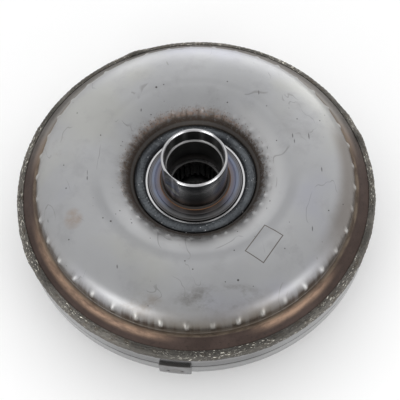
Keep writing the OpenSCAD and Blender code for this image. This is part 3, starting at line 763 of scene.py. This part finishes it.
def build_hub_weld(material):
    """Rippled bead between the hub flange and the shell, its end lapped over its start."""
    base = [(43.6, W + 15.9), (THROAT_R, W + 15.9), (THROAT_R, LEDGE_Z - 0.1), (35.4, LEDGE_Z - 0.1)]
    crown = [(35.4, W + 14.9), (35.9, W + 16.0), (37.0, W + 17.4), (38.6, W + 18.2), (40.2, W + 18.4),
             (41.7, W + 18.0), (42.9, W + 17.3), (43.7, W + 16.6)]
    path = resampled(crown, lambda r, z: 0.45)
    lap, lap_reach = math.radians(52.0), 0.30

    def shape(r, z, angle):
        r0, z0 = r[0], z[0]
        inside = max(0.0, 1.0 - ((r0 - 39.5) / 4.2) ** 2) * (1.0 if z0 > W + 14.8 else 0.0)
        ripple = np.abs(np.sin(angle * 46 + 0.5 * abs(r0 - 39.5) + 0.8 * noise_1d(angle, 41)))
        rough = noise_1d(angle * 7 + 0.8 * r0, 43)
        off = (angle - lap + math.pi) % (2 * math.pi) - math.pi
        lens = np.sqrt(np.maximum(0.0, 1.0 - (off / lap_reach) ** 2 - ((r0 - 40.0) / 3.2) ** 2))
        return r, z + inside * (0.20 * ripple - 0.12 + 0.12 * rough) + 0.7 * lens * (inside > 0)

    verts, faces = revolved(base + path, 640, shape)
    weld = make_mesh("hub_weld_bead", verts, faces, "housing", material, 60.0)
    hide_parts("hub_weld")


# -------- hub

def sleeve_steel():
    """Ground and polished sleeve: dark mirror-like steel with a dull band at its foot, darkened by painted
    shade.
    """
    g = Graph("sleeve_steel")
    r, z, cx, _ = g.polar()
    rings = g.noise(1.0, 3.0, 0.6, g.join(0.0, 0.0, g.mul(z, 2.6)))
    lines = g.noise(1.0, 2.0, 0.6, g.join(0.0, 0.0, g.mul(z, 9.0)))
    cloud = g.noise(70.0, 4.0)
    inner = g.step(r, BORE_R + 1.9, BORE_R + 1.3)
    g.tone = g.mix(g.step(rings, 0.4, 0.65), (0.42, 0.42, 0.43), (0.30, 0.30, 0.305))
    g.coat(g.step(cloud, 0.5, 0.7), (0.22, 0.215, 0.21), 0.4)
    # painted reflections: light and dark streaks down the near side, by heading
    sides = g.ramp(g.div(g.add(g.heading(), 180.0), 180.0),
                   [(0.0, grey(0.30)), (0.12, grey(0.16)), (0.22, grey(0.14)), (0.25, grey(0.85)),
                    (0.28, grey(0.22)), (0.345, grey(0.85)), (0.40, grey(0.34)), (0.45, grey(0.11)),
                    (0.55, grey(0.10)), (0.61, grey(0.38)), (0.67, grey(0.80)), (0.74, grey(0.28)),
                    (0.83, grey(0.14)), (0.92, grey(0.30)), (1.0, grey(0.30))])
    g.coat(0.85, sides)
    g.coat(inner, g.mix(g.step(rings, 0.4, 0.65), (0.34, 0.34, 0.34), (0.22, 0.22, 0.22)))
    # painted reflections in the mouth of the bore as well, as glints at the sides
    mouth = g.mul(inner, g.step(z, W + 34.6, W + 35.4))
    glints = g.ramp(g.absolute(cx),
                    [(0.0, grey(0.10)), (0.16, grey(0.12)), (0.30, grey(0.62)), (0.42, grey(0.20)),
                     (0.58, grey(0.14)), (0.74, grey(0.55)), (0.86, grey(0.18)), (1.0, grey(0.30))])
    g.coat(mouth, glints, 0.8)
    # painted shade deep down the bore
    low_shade = g.step(z, SLEEVE_TOP_Z - 20.0, SLEEVE_TOP_Z - 31.0)
    g.coat(g.mul(inner, low_shade), (0.06, 0.06, 0.06))
    # bright rim, the foot of the flats, and a dull band at the foot, darkened by painted shade, with a
    # brown line
    rim = g.step(z, SLEEVE_TOP_Z - 1.4, SLEEVE_TOP_Z - 0.9)
    g.coat(rim, (0.46, 0.46, 0.47))
    ledge = g.step(g.absolute(g.sub(z, FLAT_BOTTOM_Z)), 0.05, 0.03)
    g.coat(ledge, (0.16, 0.16, 0.16))
    # painted shade in the corner at the sleeve's foot
    base = g.step(z, LAND_Z + 2.8, LAND_Z + 1.4)
    g.coat(base, (0.050, 0.044, 0.041))
    foot = g.mul(g.step(z, LAND_Z + 0.8, LAND_Z + 0.4), g.step(r, FOOT_R - 0.45, FOOT_R - 0.2))
    g.coat(foot, (0.24, 0.12, 0.060))
    rough = g.blend(lines, 0.14, 0.24)
    rough = g.blend(inner, rough, 0.36)
    rough = g.blend(rim, rough, 0.30)
    rough = g.blend(base, rough, 0.40)
    return g.finish(rough, 1.0, g.bump(lines, 0.004))


def build_sleeve(material):
    """Pump drive sleeve with two drive flats, rounded rim and a counterbored mouth."""
    top = SLEEVE_TOP_Z
    step_z = W + 34.5
    path = rounded([
        (BORE_R, HUB_FOOT_Z), (BORE_R, step_z - 0.3, 0.3), (BORE_R + 0.5, step_z, 0.2),
        (BORE_R + 1.2, step_z + 0.8, 0.4), (BORE_R + 1.2, top - 1.1, 0.5),
        (BORE_R + 2.0, top, 0.35), (SLEEVE_R - 0.8, top, 0.35), (SLEEVE_R, top - 0.9, 0.5),
        (SLEEVE_R, FLAT_BOTTOM_Z + 0.02), (SLEEVE_R, FLAT_BOTTOM_Z - 0.02),
        (SLEEVE_R, LAND_Z + 0.9, 0.8), (FOOT_R - 0.5, LAND_Z + 0.35, 0.3), (FOOT_R, LAND_Z + 0.05, 0.1),
        (FOOT_R, HUB_FOOT_Z, 0.0)], 12.0)
    flat_r = SLEEVE_R - FLAT_DEPTH

    def shape(r, z, angle):
        if z[0] > FLAT_BOTTOM_Z and r[0] > BORE_R + 1.5:
            for a in FLAT_DIRECTIONS:
                c = np.cos(angle - math.radians(a))
                limit = np.where(c > 0.2, flat_r / np.maximum(c, 0.2), 99.0)
                r = np.minimum(r, limit)
        return r, z

    path = resampled(path, lambda r, z: 3.0)
    verts, faces = revolved(path, 480, shape)
    sleeve = make_mesh("pump_drive_sleeve_turned", verts, faces, "housing", material, 28.0)
    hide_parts("pump_drive_sleeve")


def flange_steel():
    """Hub flange: machined steel with temper colours from the welds on both sides."""
    g = Graph("flange_steel")
    r, _, cx, _ = g.polar()
    warp = g.noise(30.0, 3.0)
    wavy_r = g.add(r, g.mul(g.sub(warp, 0.5), 4.0))
    place = g.step(wavy_r, 24.5, 34.0, smooth=False)
    heated = g.ramp(place, [(0.0, (0.22, 0.11, 0.06)), (0.08, (0.10, 0.075, 0.065)),
                            (0.25, (0.085, 0.070, 0.085)), (0.42, (0.075, 0.085, 0.150)),
                            (0.60, (0.110, 0.140, 0.210)), (0.78, (0.105, 0.105, 0.115)),
                            (1.0, (0.080, 0.075, 0.075))])
    plain = g.ramp(place, [(0.0, (0.16, 0.09, 0.055)), (0.08, (0.075, 0.062, 0.058)),
                           (0.45, (0.070, 0.068, 0.070)), (0.70, (0.110, 0.110, 0.112)),
                           (1.0, (0.080, 0.077, 0.076))])
    side = g.step(g.absolute(cx), 0.55, 0.95)
    g.tone = g.mix(g.mul(side, g.step(warp, 0.25, 0.5)), plain, heated)
    grime = g.noise(70.0, 4.0)
    g.coat(g.step(grime, 0.45, 0.72), (0.075, 0.062, 0.055), 0.5)
    g.coat(side, (0.24, 0.24, 0.26), 0.30)
    # painted shade in the gap, and a bright ledge beside the weld
    gap = g.mul(g.step(r, 33.35, 33.5), g.step(r, 34.15, 34.0))
    g.coat(gap, (0.020, 0.020, 0.020))
    bright = g.mul(g.step(r, 34.0, 34.25), g.step(r, 35.6, 35.35))
    g.coat(bright, (0.54, 0.54, 0.55))
    marks = g.noise(1.0, 3.0, 0.7, g.join(g.mul(r, 5.0), 0.0, 0.0))
    rough = g.blend(bright, g.blend(marks, 0.22, 0.36), 0.26)
    return g.finish(rough, 1.0, g.bump(marks, 0.012))


def build_flange(material):
    """Hub flange: turned grooves, and a bright dished ledge beside the weld."""
    path = rounded([
        (FOOT_R, HUB_FOOT_Z), (FOOT_R, LAND_Z - 0.05, 0.2), (26.0, LAND_Z - 0.10, 0.3),
        (28.0, LAND_Z - 0.15, 0.2), (28.3, LAND_Z - 0.35, 0.2), (28.7, LAND_Z - 0.35, 0.2),
        (29.0, LAND_Z - 0.15, 0.2), (31.2, LAND_Z - 0.20, 0.3), (31.6, LAND_Z - 0.45, 0.3),
        (32.3, LAND_Z - 0.45, 0.3), (32.7, LAND_Z - 0.20, 0.2), (33.4, LAND_Z - 0.30, 0.15),
        (33.5, LEDGE_Z - 0.9, 0.1), (33.9, LEDGE_Z - 0.9, 0.1), (34.1, LEDGE_Z - 0.1, 0.1),
        (35.35, LEDGE_Z, 0.1), (THROAT_R, LEDGE_Z), (THROAT_R, HUB_FOOT_Z)], 12.0)
    verts, faces = revolved(path, 360)
    flange = make_mesh("hub_flange_turned", verts, faces, "housing", material, 30.0)
    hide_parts("hub_flange")


# -------- front cover

def cover_steel():
    """Drawn cover with a machined bright side wall."""
    g = Graph("cover_steel")
    r, z, _, _ = g.polar()
    marks = g.noise(1.0, 3.0, 0.7, g.join(0.0, 0.0, g.mul(z, 3.5)))
    cloud = g.noise(35.0, 4.0)
    wall = g.step(r, RIM_R - 3.5, RIM_R - 2.0)
    face = g.mix(g.step(cloud, 0.35, 0.75), (0.36, 0.36, 0.365), (0.29, 0.285, 0.28))
    side = g.mix(g.step(marks, 0.35, 0.7), (0.34, 0.34, 0.345), (0.22, 0.22, 0.223))
    g.tone = g.mix(wall, face, side)
    # painted shade in the groove round the wall
    deep = g.mul(g.step(r, COVER_R - 0.12, COVER_R - 0.35), wall)
    # painted shade on the front of the wall
    front_wall_shade = g.mul(g.window(g.heading(), -128.0, -112.0, -76.0, -62.0),
                 g.window(z, W - 22.0, W - 17.5, W - 6.0, W - 4.0))
    g.coat(g.mul(front_wall_shade, wall), (0.12, 0.12, 0.12), 0.60)
    # painted highlight: a lighter band on the wall below the groove
    lip = g.mul(g.window(z, W - 22.0, W - 19.5, W - 17.0, W - 15.0), wall)
    g.coat(lip, (0.55, 0.55, 0.55), 0.35)
    g.coat(deep, (0.045, 0.045, 0.048))
    burn = g.mul(g.step(z, W - 5.5, W - 2.5), wall)
    g.coat(burn, (0.15, 0.14, 0.15), 0.6)
    return g.finish(g.blend(wall, 0.42, g.blend(marks, 0.22, 0.34)), 1.0, g.bump(marks, 0.01))


def build_cover(material):
    """Front cover: rounded corner and a turned groove round its side wall."""
    corner_r, sheet = 17.0, FLOOR_Z - FACE_Z
    cr, cz = COVER_R - corner_r, FACE_Z + corner_r
    groove = W - 14.0
    outer = [(0.0, FACE_Z)] + [(r, FACE_Z) for r in (20.0, 50.0, 80.0)]
    outer += arc(cr, cz, corner_r, -90.0, 0.0, 24)
    outer += [(COVER_R, groove - 0.75), (COVER_R - 0.5, groove - 0.45), (COVER_R - 0.6, groove),
              (COVER_R - 0.5, groove + 0.45), (COVER_R, groove + 0.75),
              (COVER_R, W - 2.4), (COVER_R - 0.3, W - 2.0)]
    inner = [(LIP_R, W - 2.0), (LIP_R, W - 8.0)] + arc(cr, cz, corner_r - sheet, 0.0, -90.0, 16)
    inner += [(r, FLOOR_Z) for r in (80.0, 50.0, 25.0)] + [(0.0, FLOOR_Z)]
    verts, faces = revolved(outer + inner, 360, closed=False)
    cover = make_mesh("front_cover_drawn", verts, faces, "housing", material, 30.0)
    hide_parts("front_cover")


def weight_steel(spots):
    """Plain plate steel with a dark pit at each spot weld and a darker upper edge."""
    g = Graph("weight_steel")
    x, _, z = g.millimetres()
    cloud = g.noise(120.0, 4.0, 0.6)
    fine = g.noise(900.0, 3.0)
    g.tone = g.mix(g.step(cloud, 0.35, 0.7), (0.27, 0.27, 0.275), (0.19, 0.185, 0.18))
    for spot in spots:
        g.coat(g.spot(x, z, spot, (2.1, 2.3)), (0.10, 0.09, 0.085), 0.5)
        g.coat(g.spot(x, z, spot, (1.0, 1.1)), (0.020, 0.018, 0.018))
    top = g.step(z, W - 10.2, W - 9.9)
    g.coat(top, (0.110, 0.107, 0.104))
    return g.finish(g.blend(fine, 0.34, 0.48), 1.0, g.bump(fine, 0.02))


def build_balance_weight():
    """Small curved plate with rounded corners, fixed by two spot welds."""
    centre = math.radians(261.5)
    lo_z, hi_z = W - 24.4, W - 9.8
    nu, nv = 44, 30
    thickness, corner = 2.4, 1.2
    half_w = math.radians(4.9) * COVER_R
    half_h = (hi_z - lo_z) / 2
    mid_z = (hi_z + lo_z) / 2
    verts, faces = [], []
    # spot welds, as shares of the plate's half width and half height
    spots = ((-0.45, -0.30), (0.42, -0.22))
    for layer, radius in enumerate((COVER_R + 0.02, COVER_R + thickness)):
        for j in range(nv + 1):
            for i in range(nu + 1):
                u, v = (i / nu * 2 - 1) * half_w, (j / nv * 2 - 1) * half_h
                u, v = round_corner(u, v, half_w, half_h, corner)
                out = 0.0
                if layer:
                    edge = min(half_w - abs(u), half_h - abs(v))
                    out -= 0.35 * math.exp(-(edge / 0.35) ** 2)
                    for su, sv in spots:
                        d = math.hypot(u - su * half_w, v - sv * half_h)
                        out -= 0.55 * math.exp(-(d / 1.3) ** 2) - 0.25 * math.exp(-((d - 2.0) / 0.6) ** 2)
                a = centre + u / COVER_R
                rr = radius + min(0.08, out)
                verts.append((rr * math.cos(a), rr * math.sin(a), mid_z + v))
    row, sheet = nu + 1, (nu + 1) * (nv + 1)
    for j in range(nv):
        for i in range(nu):
            a = j * row + i
            faces.append((a + row, a + row + 1, a + 1, a))
            faces.append((sheet + a, sheet + a + 1, sheet + a + row + 1, sheet + a + row))
    loop = list(range(nu)) + [nu + j * row for j in range(nv)]
    loop += [nv * row + nu - i for i in range(nu)] + [(nv - j) * row for j in range(nv)]
    for a, b in zip(loop, loop[1:] + loop[:1]):
        faces.append((a, b, sheet + b, sheet + a))
    spots_at = []
    for su, sv in spots:
        spots_at.append((COVER_R * math.cos(centre + su * half_w / COVER_R), mid_z + sv * half_h))
    plate = make_mesh("balance_weight_plate", verts, faces, "housing", weight_steel(spots_at), 50.0)
    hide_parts("balance_weight")


# -------- drive blocks and pilot

def block_outline(points):
    """(u, v, angle) points round a drive block with rounded corners, u outwards and v round
    the axis from the block's own centre."""
    corner, outline = 1.6, []
    for i in range(points):
        t = 2 * math.pi * (i + 0.5) / points
        c, s = math.cos(t), math.sin(t)
        reach = min(BLOCK_HALF_R / max(abs(c), 1e-6), BLOCK_HALF_T / max(abs(s), 1e-6))
        outline.append((*round_corner(c * reach, s * reach, BLOCK_HALF_R, BLOCK_HALF_T, corner), t))
    return outline


def block_rings(outline):
    """Rings of (u, v, z) points of a block: its side, its eased lower edge, the countersink of
    its hole, the thread and the hole's bottom."""
    ease, hole_r, pitch, depth = 0.6, 4.25, 1.25, 0.55
    thread_z, floor_z = 1.0, FACE_Z - 0.6

    def side(inset, z):
        su, sv = 1 - inset / BLOCK_HALF_R, 1 - inset / BLOCK_HALF_T
        return [(u * su, v * sv, z) for u, v, _ in outline]

    def bore(radius, z):
        return [(radius * math.cos(t), radius * math.sin(t), z) for _, _, t in outline]

    def thread(z):
        ring = []
        for _, _, t in outline:
            lap = (z / pitch + t / (2 * math.pi)) % 1.0
            radius = hole_r + 0.23 + depth * (abs(2 * lap - 1) - 0.5)
            ring.append((radius * math.cos(t), radius * math.sin(t), z))
        return ring

    rings = [side(0.0, FACE_Z), side(0.0, ease), side(ease * 0.3, ease * 0.3), side(ease, 0.0)]
    rings += [bore(hole_r + 1.0, 0.0), bore(hole_r + 0.35, 0.75)]
    steps = int((floor_z - thread_z) / 0.16)
    rings += [thread(thread_z + (floor_z - thread_z) * i / steps) for i in range(steps + 1)]
    return rings + [bore(0.02, floor_z)]


def build_drive_blocks(material):
    """Drive blocks with eased edges and a countersunk, threaded hole in each."""
    n = 96
    rings = block_rings(block_outline(n))
    verts, faces = [], []
    for k in range(BLOCKS):
        out, side = spoke_axes(math.radians(BLOCK_FIRST + 60.0 * k))
        first = len(verts)
        for ring in rings:
            verts += [out * (BLOCK_CIRCLE_R + u) + side * v + UP * z for u, v, z in ring]
        for r0 in range(first, len(verts) - n, n):
            r1 = r0 + n
            for i in range(n):
                j = (i + 1) % n
                faces.append((r1 + i, r1 + j, r0 + j, r0 + i))
        faces.append(tuple(range(first, first + n)))
    blocks = make_mesh("drive_blocks_eased", verts, faces, "housing", material, 32.0)
    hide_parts("drive_blocks")


def fillet_bead(start, end, away, leg, seed):
    """Vertices and faces of a rippled weld bead under the cover face, from start to end. It lies
    in the corner of a wall that faces away."""
    start, end, away = (np.array(v, float) for v in (start, end, away))
    length = np.linalg.norm(end - start)
    along = (end - start) / length
    rng = np.random.default_rng(seed)
    phase = rng.uniform(0, 6.28, 3)
    rows, cols = int(length / 0.3), 9
    verts = []
    for i in range(rows + 1):
        s = length * i / rows
        taper = min(1.0, math.sqrt(max(0.0, min(s, length - s)) / 1.6 + 0.06))
        for j in range(cols):
            t = math.radians(90.0 * j / (cols - 1))
            ripple = 0.16 * abs(math.sin(s * 2.1 + 0.9 * math.cos(2 * t) + phase[0]))
            rough = 0.05 * math.sin(s * 5.3 + 4 * t + phase[1]) + 0.04 * math.sin(s * 11 + 7 * t + phase[2])
            bulge = 0.80 + (ripple + rough) * math.sin(2 * t)
            q = leg * taper * bulge
            verts.append(start + along * s + away * q * math.cos(t) - UP * q * math.sin(t))
        verts.append(start + along * s)
    ring = cols + 1
    faces = []
    for i in range(rows):
        for j in range(ring):
            m = (j + 1) % ring
            faces.append((i * ring + j, (i + 1) * ring + j, (i + 1) * ring + m, i * ring + m))
    faces.append(tuple(range(ring)))
    faces.append(tuple(rows * ring + j for j in range(ring))[::-1])
    return verts, faces


def build_block_welds(material):
    """Fillet beads round the inner edge and both ends of each drive block."""
    leg, half_inner, half_end = 2.5, 10.0, 7.0
    verts, faces = [], []
    for k in range(BLOCKS):
        out, side = spoke_axes(math.radians(BLOCK_FIRST + 60.0 * k))
        top = UP * FACE_Z
        inner = out * (BLOCK_CIRCLE_R - BLOCK_HALF_R) + top
        runs = [(inner - side * half_inner, inner + side * half_inner, -out)]
        for s in (-1, 1):
            edge = side * s * BLOCK_HALF_T + top
            runs.append((out * (BLOCK_CIRCLE_R - half_end) + edge,
                         out * (BLOCK_CIRCLE_R + half_end) + edge, side * s))
        for n, (start, end, away) in enumerate(runs):
            v, f = fillet_bead(start, end, away, leg, 10 * k + n)
            faces += [tuple(i + len(verts) for i in face) for face in f]
            verts += v
    beads = make_mesh("drive_block_beads", verts, faces, "housing", material, 60.0)
    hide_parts("drive_block_welds")


def build_pilot_weld(material):
    """Rippled fillet between the pilot and the cover face."""
    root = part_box("crank_pilot")[1][0] / MM - 0.7
    crown = [(root + 0.1, FACE_Z - 2.3), (root + 1.9, FACE_Z - 1.7, 1.5), (root + 2.9, FACE_Z - 0.02)]
    path = [(root, FACE_Z - 2.3)] + rounded(crown, 14.0) + [(root, FACE_Z)]

    def shape(r, z, angle):
        r0, z0 = r[0], z[0]
        open_side = min(1.0, max(0.0, (r0 - root) / 1.0), max(0.0, (FACE_Z - z0) / 0.6))
        ripple = np.abs(np.sin(angle * 21 + 0.6 * noise_1d(angle, 61)))
        out = open_side * (0.16 * ripple - 0.14 + 0.05 * noise_1d(angle * 5 + r0, 67))
        return r + 0.7 * out, z - 0.7 * out

    verts, faces = revolved(path, 360, shape)
    weld = make_mesh("pilot_weld_bead", verts, [f[::-1] for f in faces], "housing", material, 60.0)
    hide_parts("pilot_weld")


# -------- damper springs

def spring_centreline(turn, side, circle_r, near_a, far_a):
    """Centres of an arc spring's wire, and the two cross axes of the wire at each. The turn at
    either end is closed."""
    coil_r, turns, closed, mid_z = SPRING_COIL_R, SPRING_TURNS, 0.9, SPRING_Z
    open_turns = turns - 2 * closed
    pad = 2.1 * SPRING_WIRE_R / circle_r
    pitch = circle_r * (far_a - near_a) / turns
    steps = int(turns * 26)
    centres, axes = [], []
    for i in range(steps + 1):
        lap = turns * i / steps
        ends = min(lap, closed) + max(0.0, lap - turns + closed)
        middle = min(max(lap - closed, 0.0), open_turns) / open_turns
        a = near_a + pad * ends + (far_a - near_a - 2 * pad * closed) * middle
        out, round_axis = spoke_axes(turn + side * a)
        phase = 2 * math.pi * lap
        spoke = math.cos(phase) * out + math.sin(phase) * UP
        run = -math.sin(phase) * out + math.cos(phase) * UP
        tangent = run * 2 * math.pi * coil_r + side * round_axis * pitch
        tangent /= np.linalg.norm(tangent)
        centres.append(circle_r * out + mid_z * UP + coil_r * spoke)
        axes.append((spoke, np.cross(tangent, spoke)))
    return centres, axes


def build_damper_springs(material):
    """Eight arc springs with closed ends, one end by the arm and the other by the stop."""
    circle_r = 99.0
    near_a, far_a = math.radians(4.8), math.radians(38.2)
    for k in range(SPRINGS):
        side = 1 if k % 2 else -1
        turn = math.radians(90.0 * (k // 2))
        centres, axes = spring_centreline(turn, side, circle_r, near_a, far_a)
        verts, faces = tube(centres, axes, SPRING_WIRE_R, 12)
        spring = make_mesh(f"damper_spring_{k + 1}", verts, faces, None, material, 50.0)
        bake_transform(spring)
        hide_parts("damper_springs")


# -------- the other nodes

def race_steel():
    """Splined race: black oiled teeth, and ground steel on its wide part and its end face."""
    g = Graph("race_steel")
    r, z, _, _ = g.polar()
    collar_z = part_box("stator_inner_race")[1][2] / MM
    marks = g.noise(1.0, 3.0, 0.6, g.join(g.mul(r, 5.0), g.mul(z, 3.0), 0.0))
    cloud = g.noise(90.0, 3.0)
    g.tone = g.mix(cloud, (0.014, 0.013, 0.013), (0.026, 0.025, 0.024))
    ground = g.mul(g.step(r, 26.5, 27.0), 0.9)
    g.coat(ground, (0.42, 0.42, 0.43))
    end = g.mul(g.step(z, collar_z - 0.25, collar_z - 0.1), g.step(r, 17.4, 17.7))
    g.coat(end, (0.30, 0.30, 0.30))
    return g.finish(g.blend(marks, 0.30, 0.45), 1.0, g.bump(marks, 0.006))


def dress(material, *nodes):
    """Gives CAD nodes whose shape is right a better material."""
    for name in nodes:
        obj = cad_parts[name]
        obj.data.materials.clear()
        obj.data.materials.append(material)


def ease_edges(width, *nodes):
    """A small rounded bevel on the sharp edges of CAD nodes whose shape is right."""
    for name in nodes:
        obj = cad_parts[name]
        bevel = obj.modifiers.new("eased", "BEVEL")
        bevel.width = width * MM
        bevel.segments = 2
        bevel.limit_method = "ANGLE"
        bevel.angle_limit = math.radians(40.0)
        bevel.harden_normals = True


# -------- stage and camera

def area_light(name, at, target, size, power):
    """A rectangular light aimed at a point, in metres and watts."""
    data = bpy.data.lights.new(name, "AREA")
    data.shape = "RECTANGLE"
    data.size, data.size_y = size
    data.energy = power
    obj = bpy.data.objects.new(name, data)
    bpy.context.scene.collection.objects.link(obj)
    obj.location = at
    obj.rotation_euler = (Vector(target) - Vector(at)).to_track_quat("-Z", "Y").to_euler()


def build_stage():
    """White paper floor just below the part, a pale sky brighter behind, and three softboxes."""
    g = Graph("floor_paper")
    g.tone = grey(0.95)
    g.finish(0.9, 0.0)
    far, drop = 3.0 / MM, -0.2
    corners = [(-far, -far, drop), (far, -far, drop), (far, far, drop), (-far, far, drop)]
    floor = make_mesh("floor", corners, [(0, 1, 2, 3)], None, g.material)
    world = bpy.data.worlds.new("studio")
    bpy.context.scene.world = world
    world.use_nodes = True
    tree = world.node_tree
    tree.nodes.clear()
    out = tree.nodes.new("ShaderNodeOutputWorld")
    back = tree.nodes.new("ShaderNodeBackground")
    tree.links.new(back.outputs[0], out.inputs[0])
    coord = tree.nodes.new("ShaderNodeTexCoord")
    parts = tree.nodes.new("ShaderNodeSeparateXYZ")
    glow = tree.nodes.new("ShaderNodeMapRange")
    tree.links.new(coord.outputs["Generated"], parts.inputs[0])
    tree.links.new(parts.outputs[1], glow.inputs[0])
    tree.links.new(glow.outputs[0], back.inputs[1])
    # from -0.36 to 1.0 along y the sky's brightness goes from 0.98 to 1.72
    for k, value in enumerate((-0.36, 1.0, 0.98, 1.72)):
        glow.inputs[k + 1].default_value = value
    # name, azimuth in degrees, distance and height in m, size in m, power in W
    softboxes = (("left_front", -132.0, 1.19, 0.34, (0.60, 0.40), 4.0),
                 ("right_front", -45.0, 1.13, 0.34, (0.60, 0.40), 2.9),
                 ("back", 78.0, 1.25, 0.18, (1.60, 0.28), 4.0))
    for name, azimuth, far, height, size, power in softboxes:
        a = math.radians(azimuth)
        at = (far * math.cos(a), far * math.sin(a), height)
        area_light(name, at, (0, 0, 0.05), size, power)


def build_camera():
    """Camera above the front of the converter, looking down at the hub."""
    elevation, roll = math.radians(62.62), math.radians(2.55)
    distance, focal = 0.706, 87.462
    shift_right, shift_up = 0.00307, -0.00803
    back = Vector((0, -math.cos(elevation), math.sin(elevation)))
    up0 = Vector((0, math.sin(elevation), math.cos(elevation)))
    right = Vector((1, 0, 0)) * math.cos(roll) - up0 * math.sin(roll)
    up = Vector((1, 0, 0)) * math.sin(roll) + up0 * math.cos(roll)
    at = Vector((0, 0, W * MM)) + back * distance + right * shift_right + up * shift_up
    data = bpy.data.cameras.new("camera")
    data.sensor_width = 36.0
    data.lens = focal
    data.clip_start = 0.05
    obj = bpy.data.objects.new("camera", data)
    bpy.context.scene.collection.objects.link(obj)
    rotation = Matrix((right, up, back)).transposed().to_4x4()
    obj.matrix_world = Matrix.Translation(at) @ rotation
    bpy.context.scene.camera = obj


# -------- the scene

build_camera()
build_stage()
build_shell(shell_steel())
build_closure_weld(weld_metal("closure_weld_metal", (0.086, 0.081, 0.073), (0.78, 0.75, 0.66), 0.105, 2.0))
build_hub_weld(hub_weld_metal())
build_sleeve(sleeve_steel())
build_flange(flange_steel())
build_cover(cover_steel())
build_balance_weight()
block_steel = turned_steel("block_steel", (0.42, 0.42, 0.43), 0.35)
bead_metal = weld_metal("bead_metal", (0.12, 0.118, 0.115), (0.7, 0.66, 0.6))
spring_steel = stamped_steel("spring_steel", (0.14, 0.17, 0.24), 0.3, (0.10, 0.10, 0.13))
build_drive_blocks(block_steel)
build_block_welds(bead_metal)
build_pilot_weld(bead_metal)
build_damper_springs(spring_steel)

dress(block_steel, "crank_pilot", "turbine_rivets")
dress(cast_metal("washer_bronze", (0.45, 0.30, 0.17), 0.4), "cover_thrust_washer")
dress(stamped_steel("blade_steel", (0.40, 0.41, 0.42), 0.36, (0.34, 0.335, 0.32)),
      "impeller_blades", "impeller_core_ring", "turbine_shell", "turbine_blades", "turbine_core_ring")
dress(turned_steel("bearing_steel", (0.60, 0.60, 0.62), 0.15),
      "rear_bearing_hub_race", "rear_bearing_needles", "rear_bearing_stator_race",
      "front_bearing_stator_race", "front_bearing_needles", "front_bearing_turbine_race",
      "clutch_rollers")
dress(turned_steel("cage_steel", (0.34, 0.34, 0.345), 0.35), "rear_bearing_cage", "front_bearing_cage")
dress(race_steel(), "stator_inner_race")
dress(turned_steel("hard_steel", (0.22, 0.22, 0.22), 0.3), "clutch_cam_ring", "turbine_hub")
dress(cast_metal("cast_aluminium", (0.62, 0.63, 0.64), 0.45), "stator_wheel")
dress(stamped_steel("plate_steel", (0.42, 0.42, 0.43), 0.38, (0.36, 0.35, 0.33)),
      "clutch_rear_plate", "clutch_front_plate", "damper_driven_plate", "damper_cage", "damper_stops",
      "lockup_piston")
dress(spring_steel, "clutch_roller_springs", "stator_snap_ring")
dress(cast_metal("seal_black", (0.02, 0.02, 0.02), 0.6), "hub_seal_ring")
dress(cast_metal("lining_paper", (0.20, 0.16, 0.09), 0.9), "friction_lining")

ease_edges(0.3, "crank_pilot", "turbine_hub", "turbine_rivets", "cover_thrust_washer", "lockup_piston",
           "damper_driven_plate", "damper_cage", "damper_stops", "clutch_rear_plate", "clutch_front_plate")
ease_edges(0.15, "rear_bearing_hub_race", "rear_bearing_stator_race", "front_bearing_stator_race",
           "front_bearing_turbine_race", "clutch_rollers", "clutch_cam_ring", "friction_lining")

bpy.context.scene.view_settings.view_transform = "Standard"
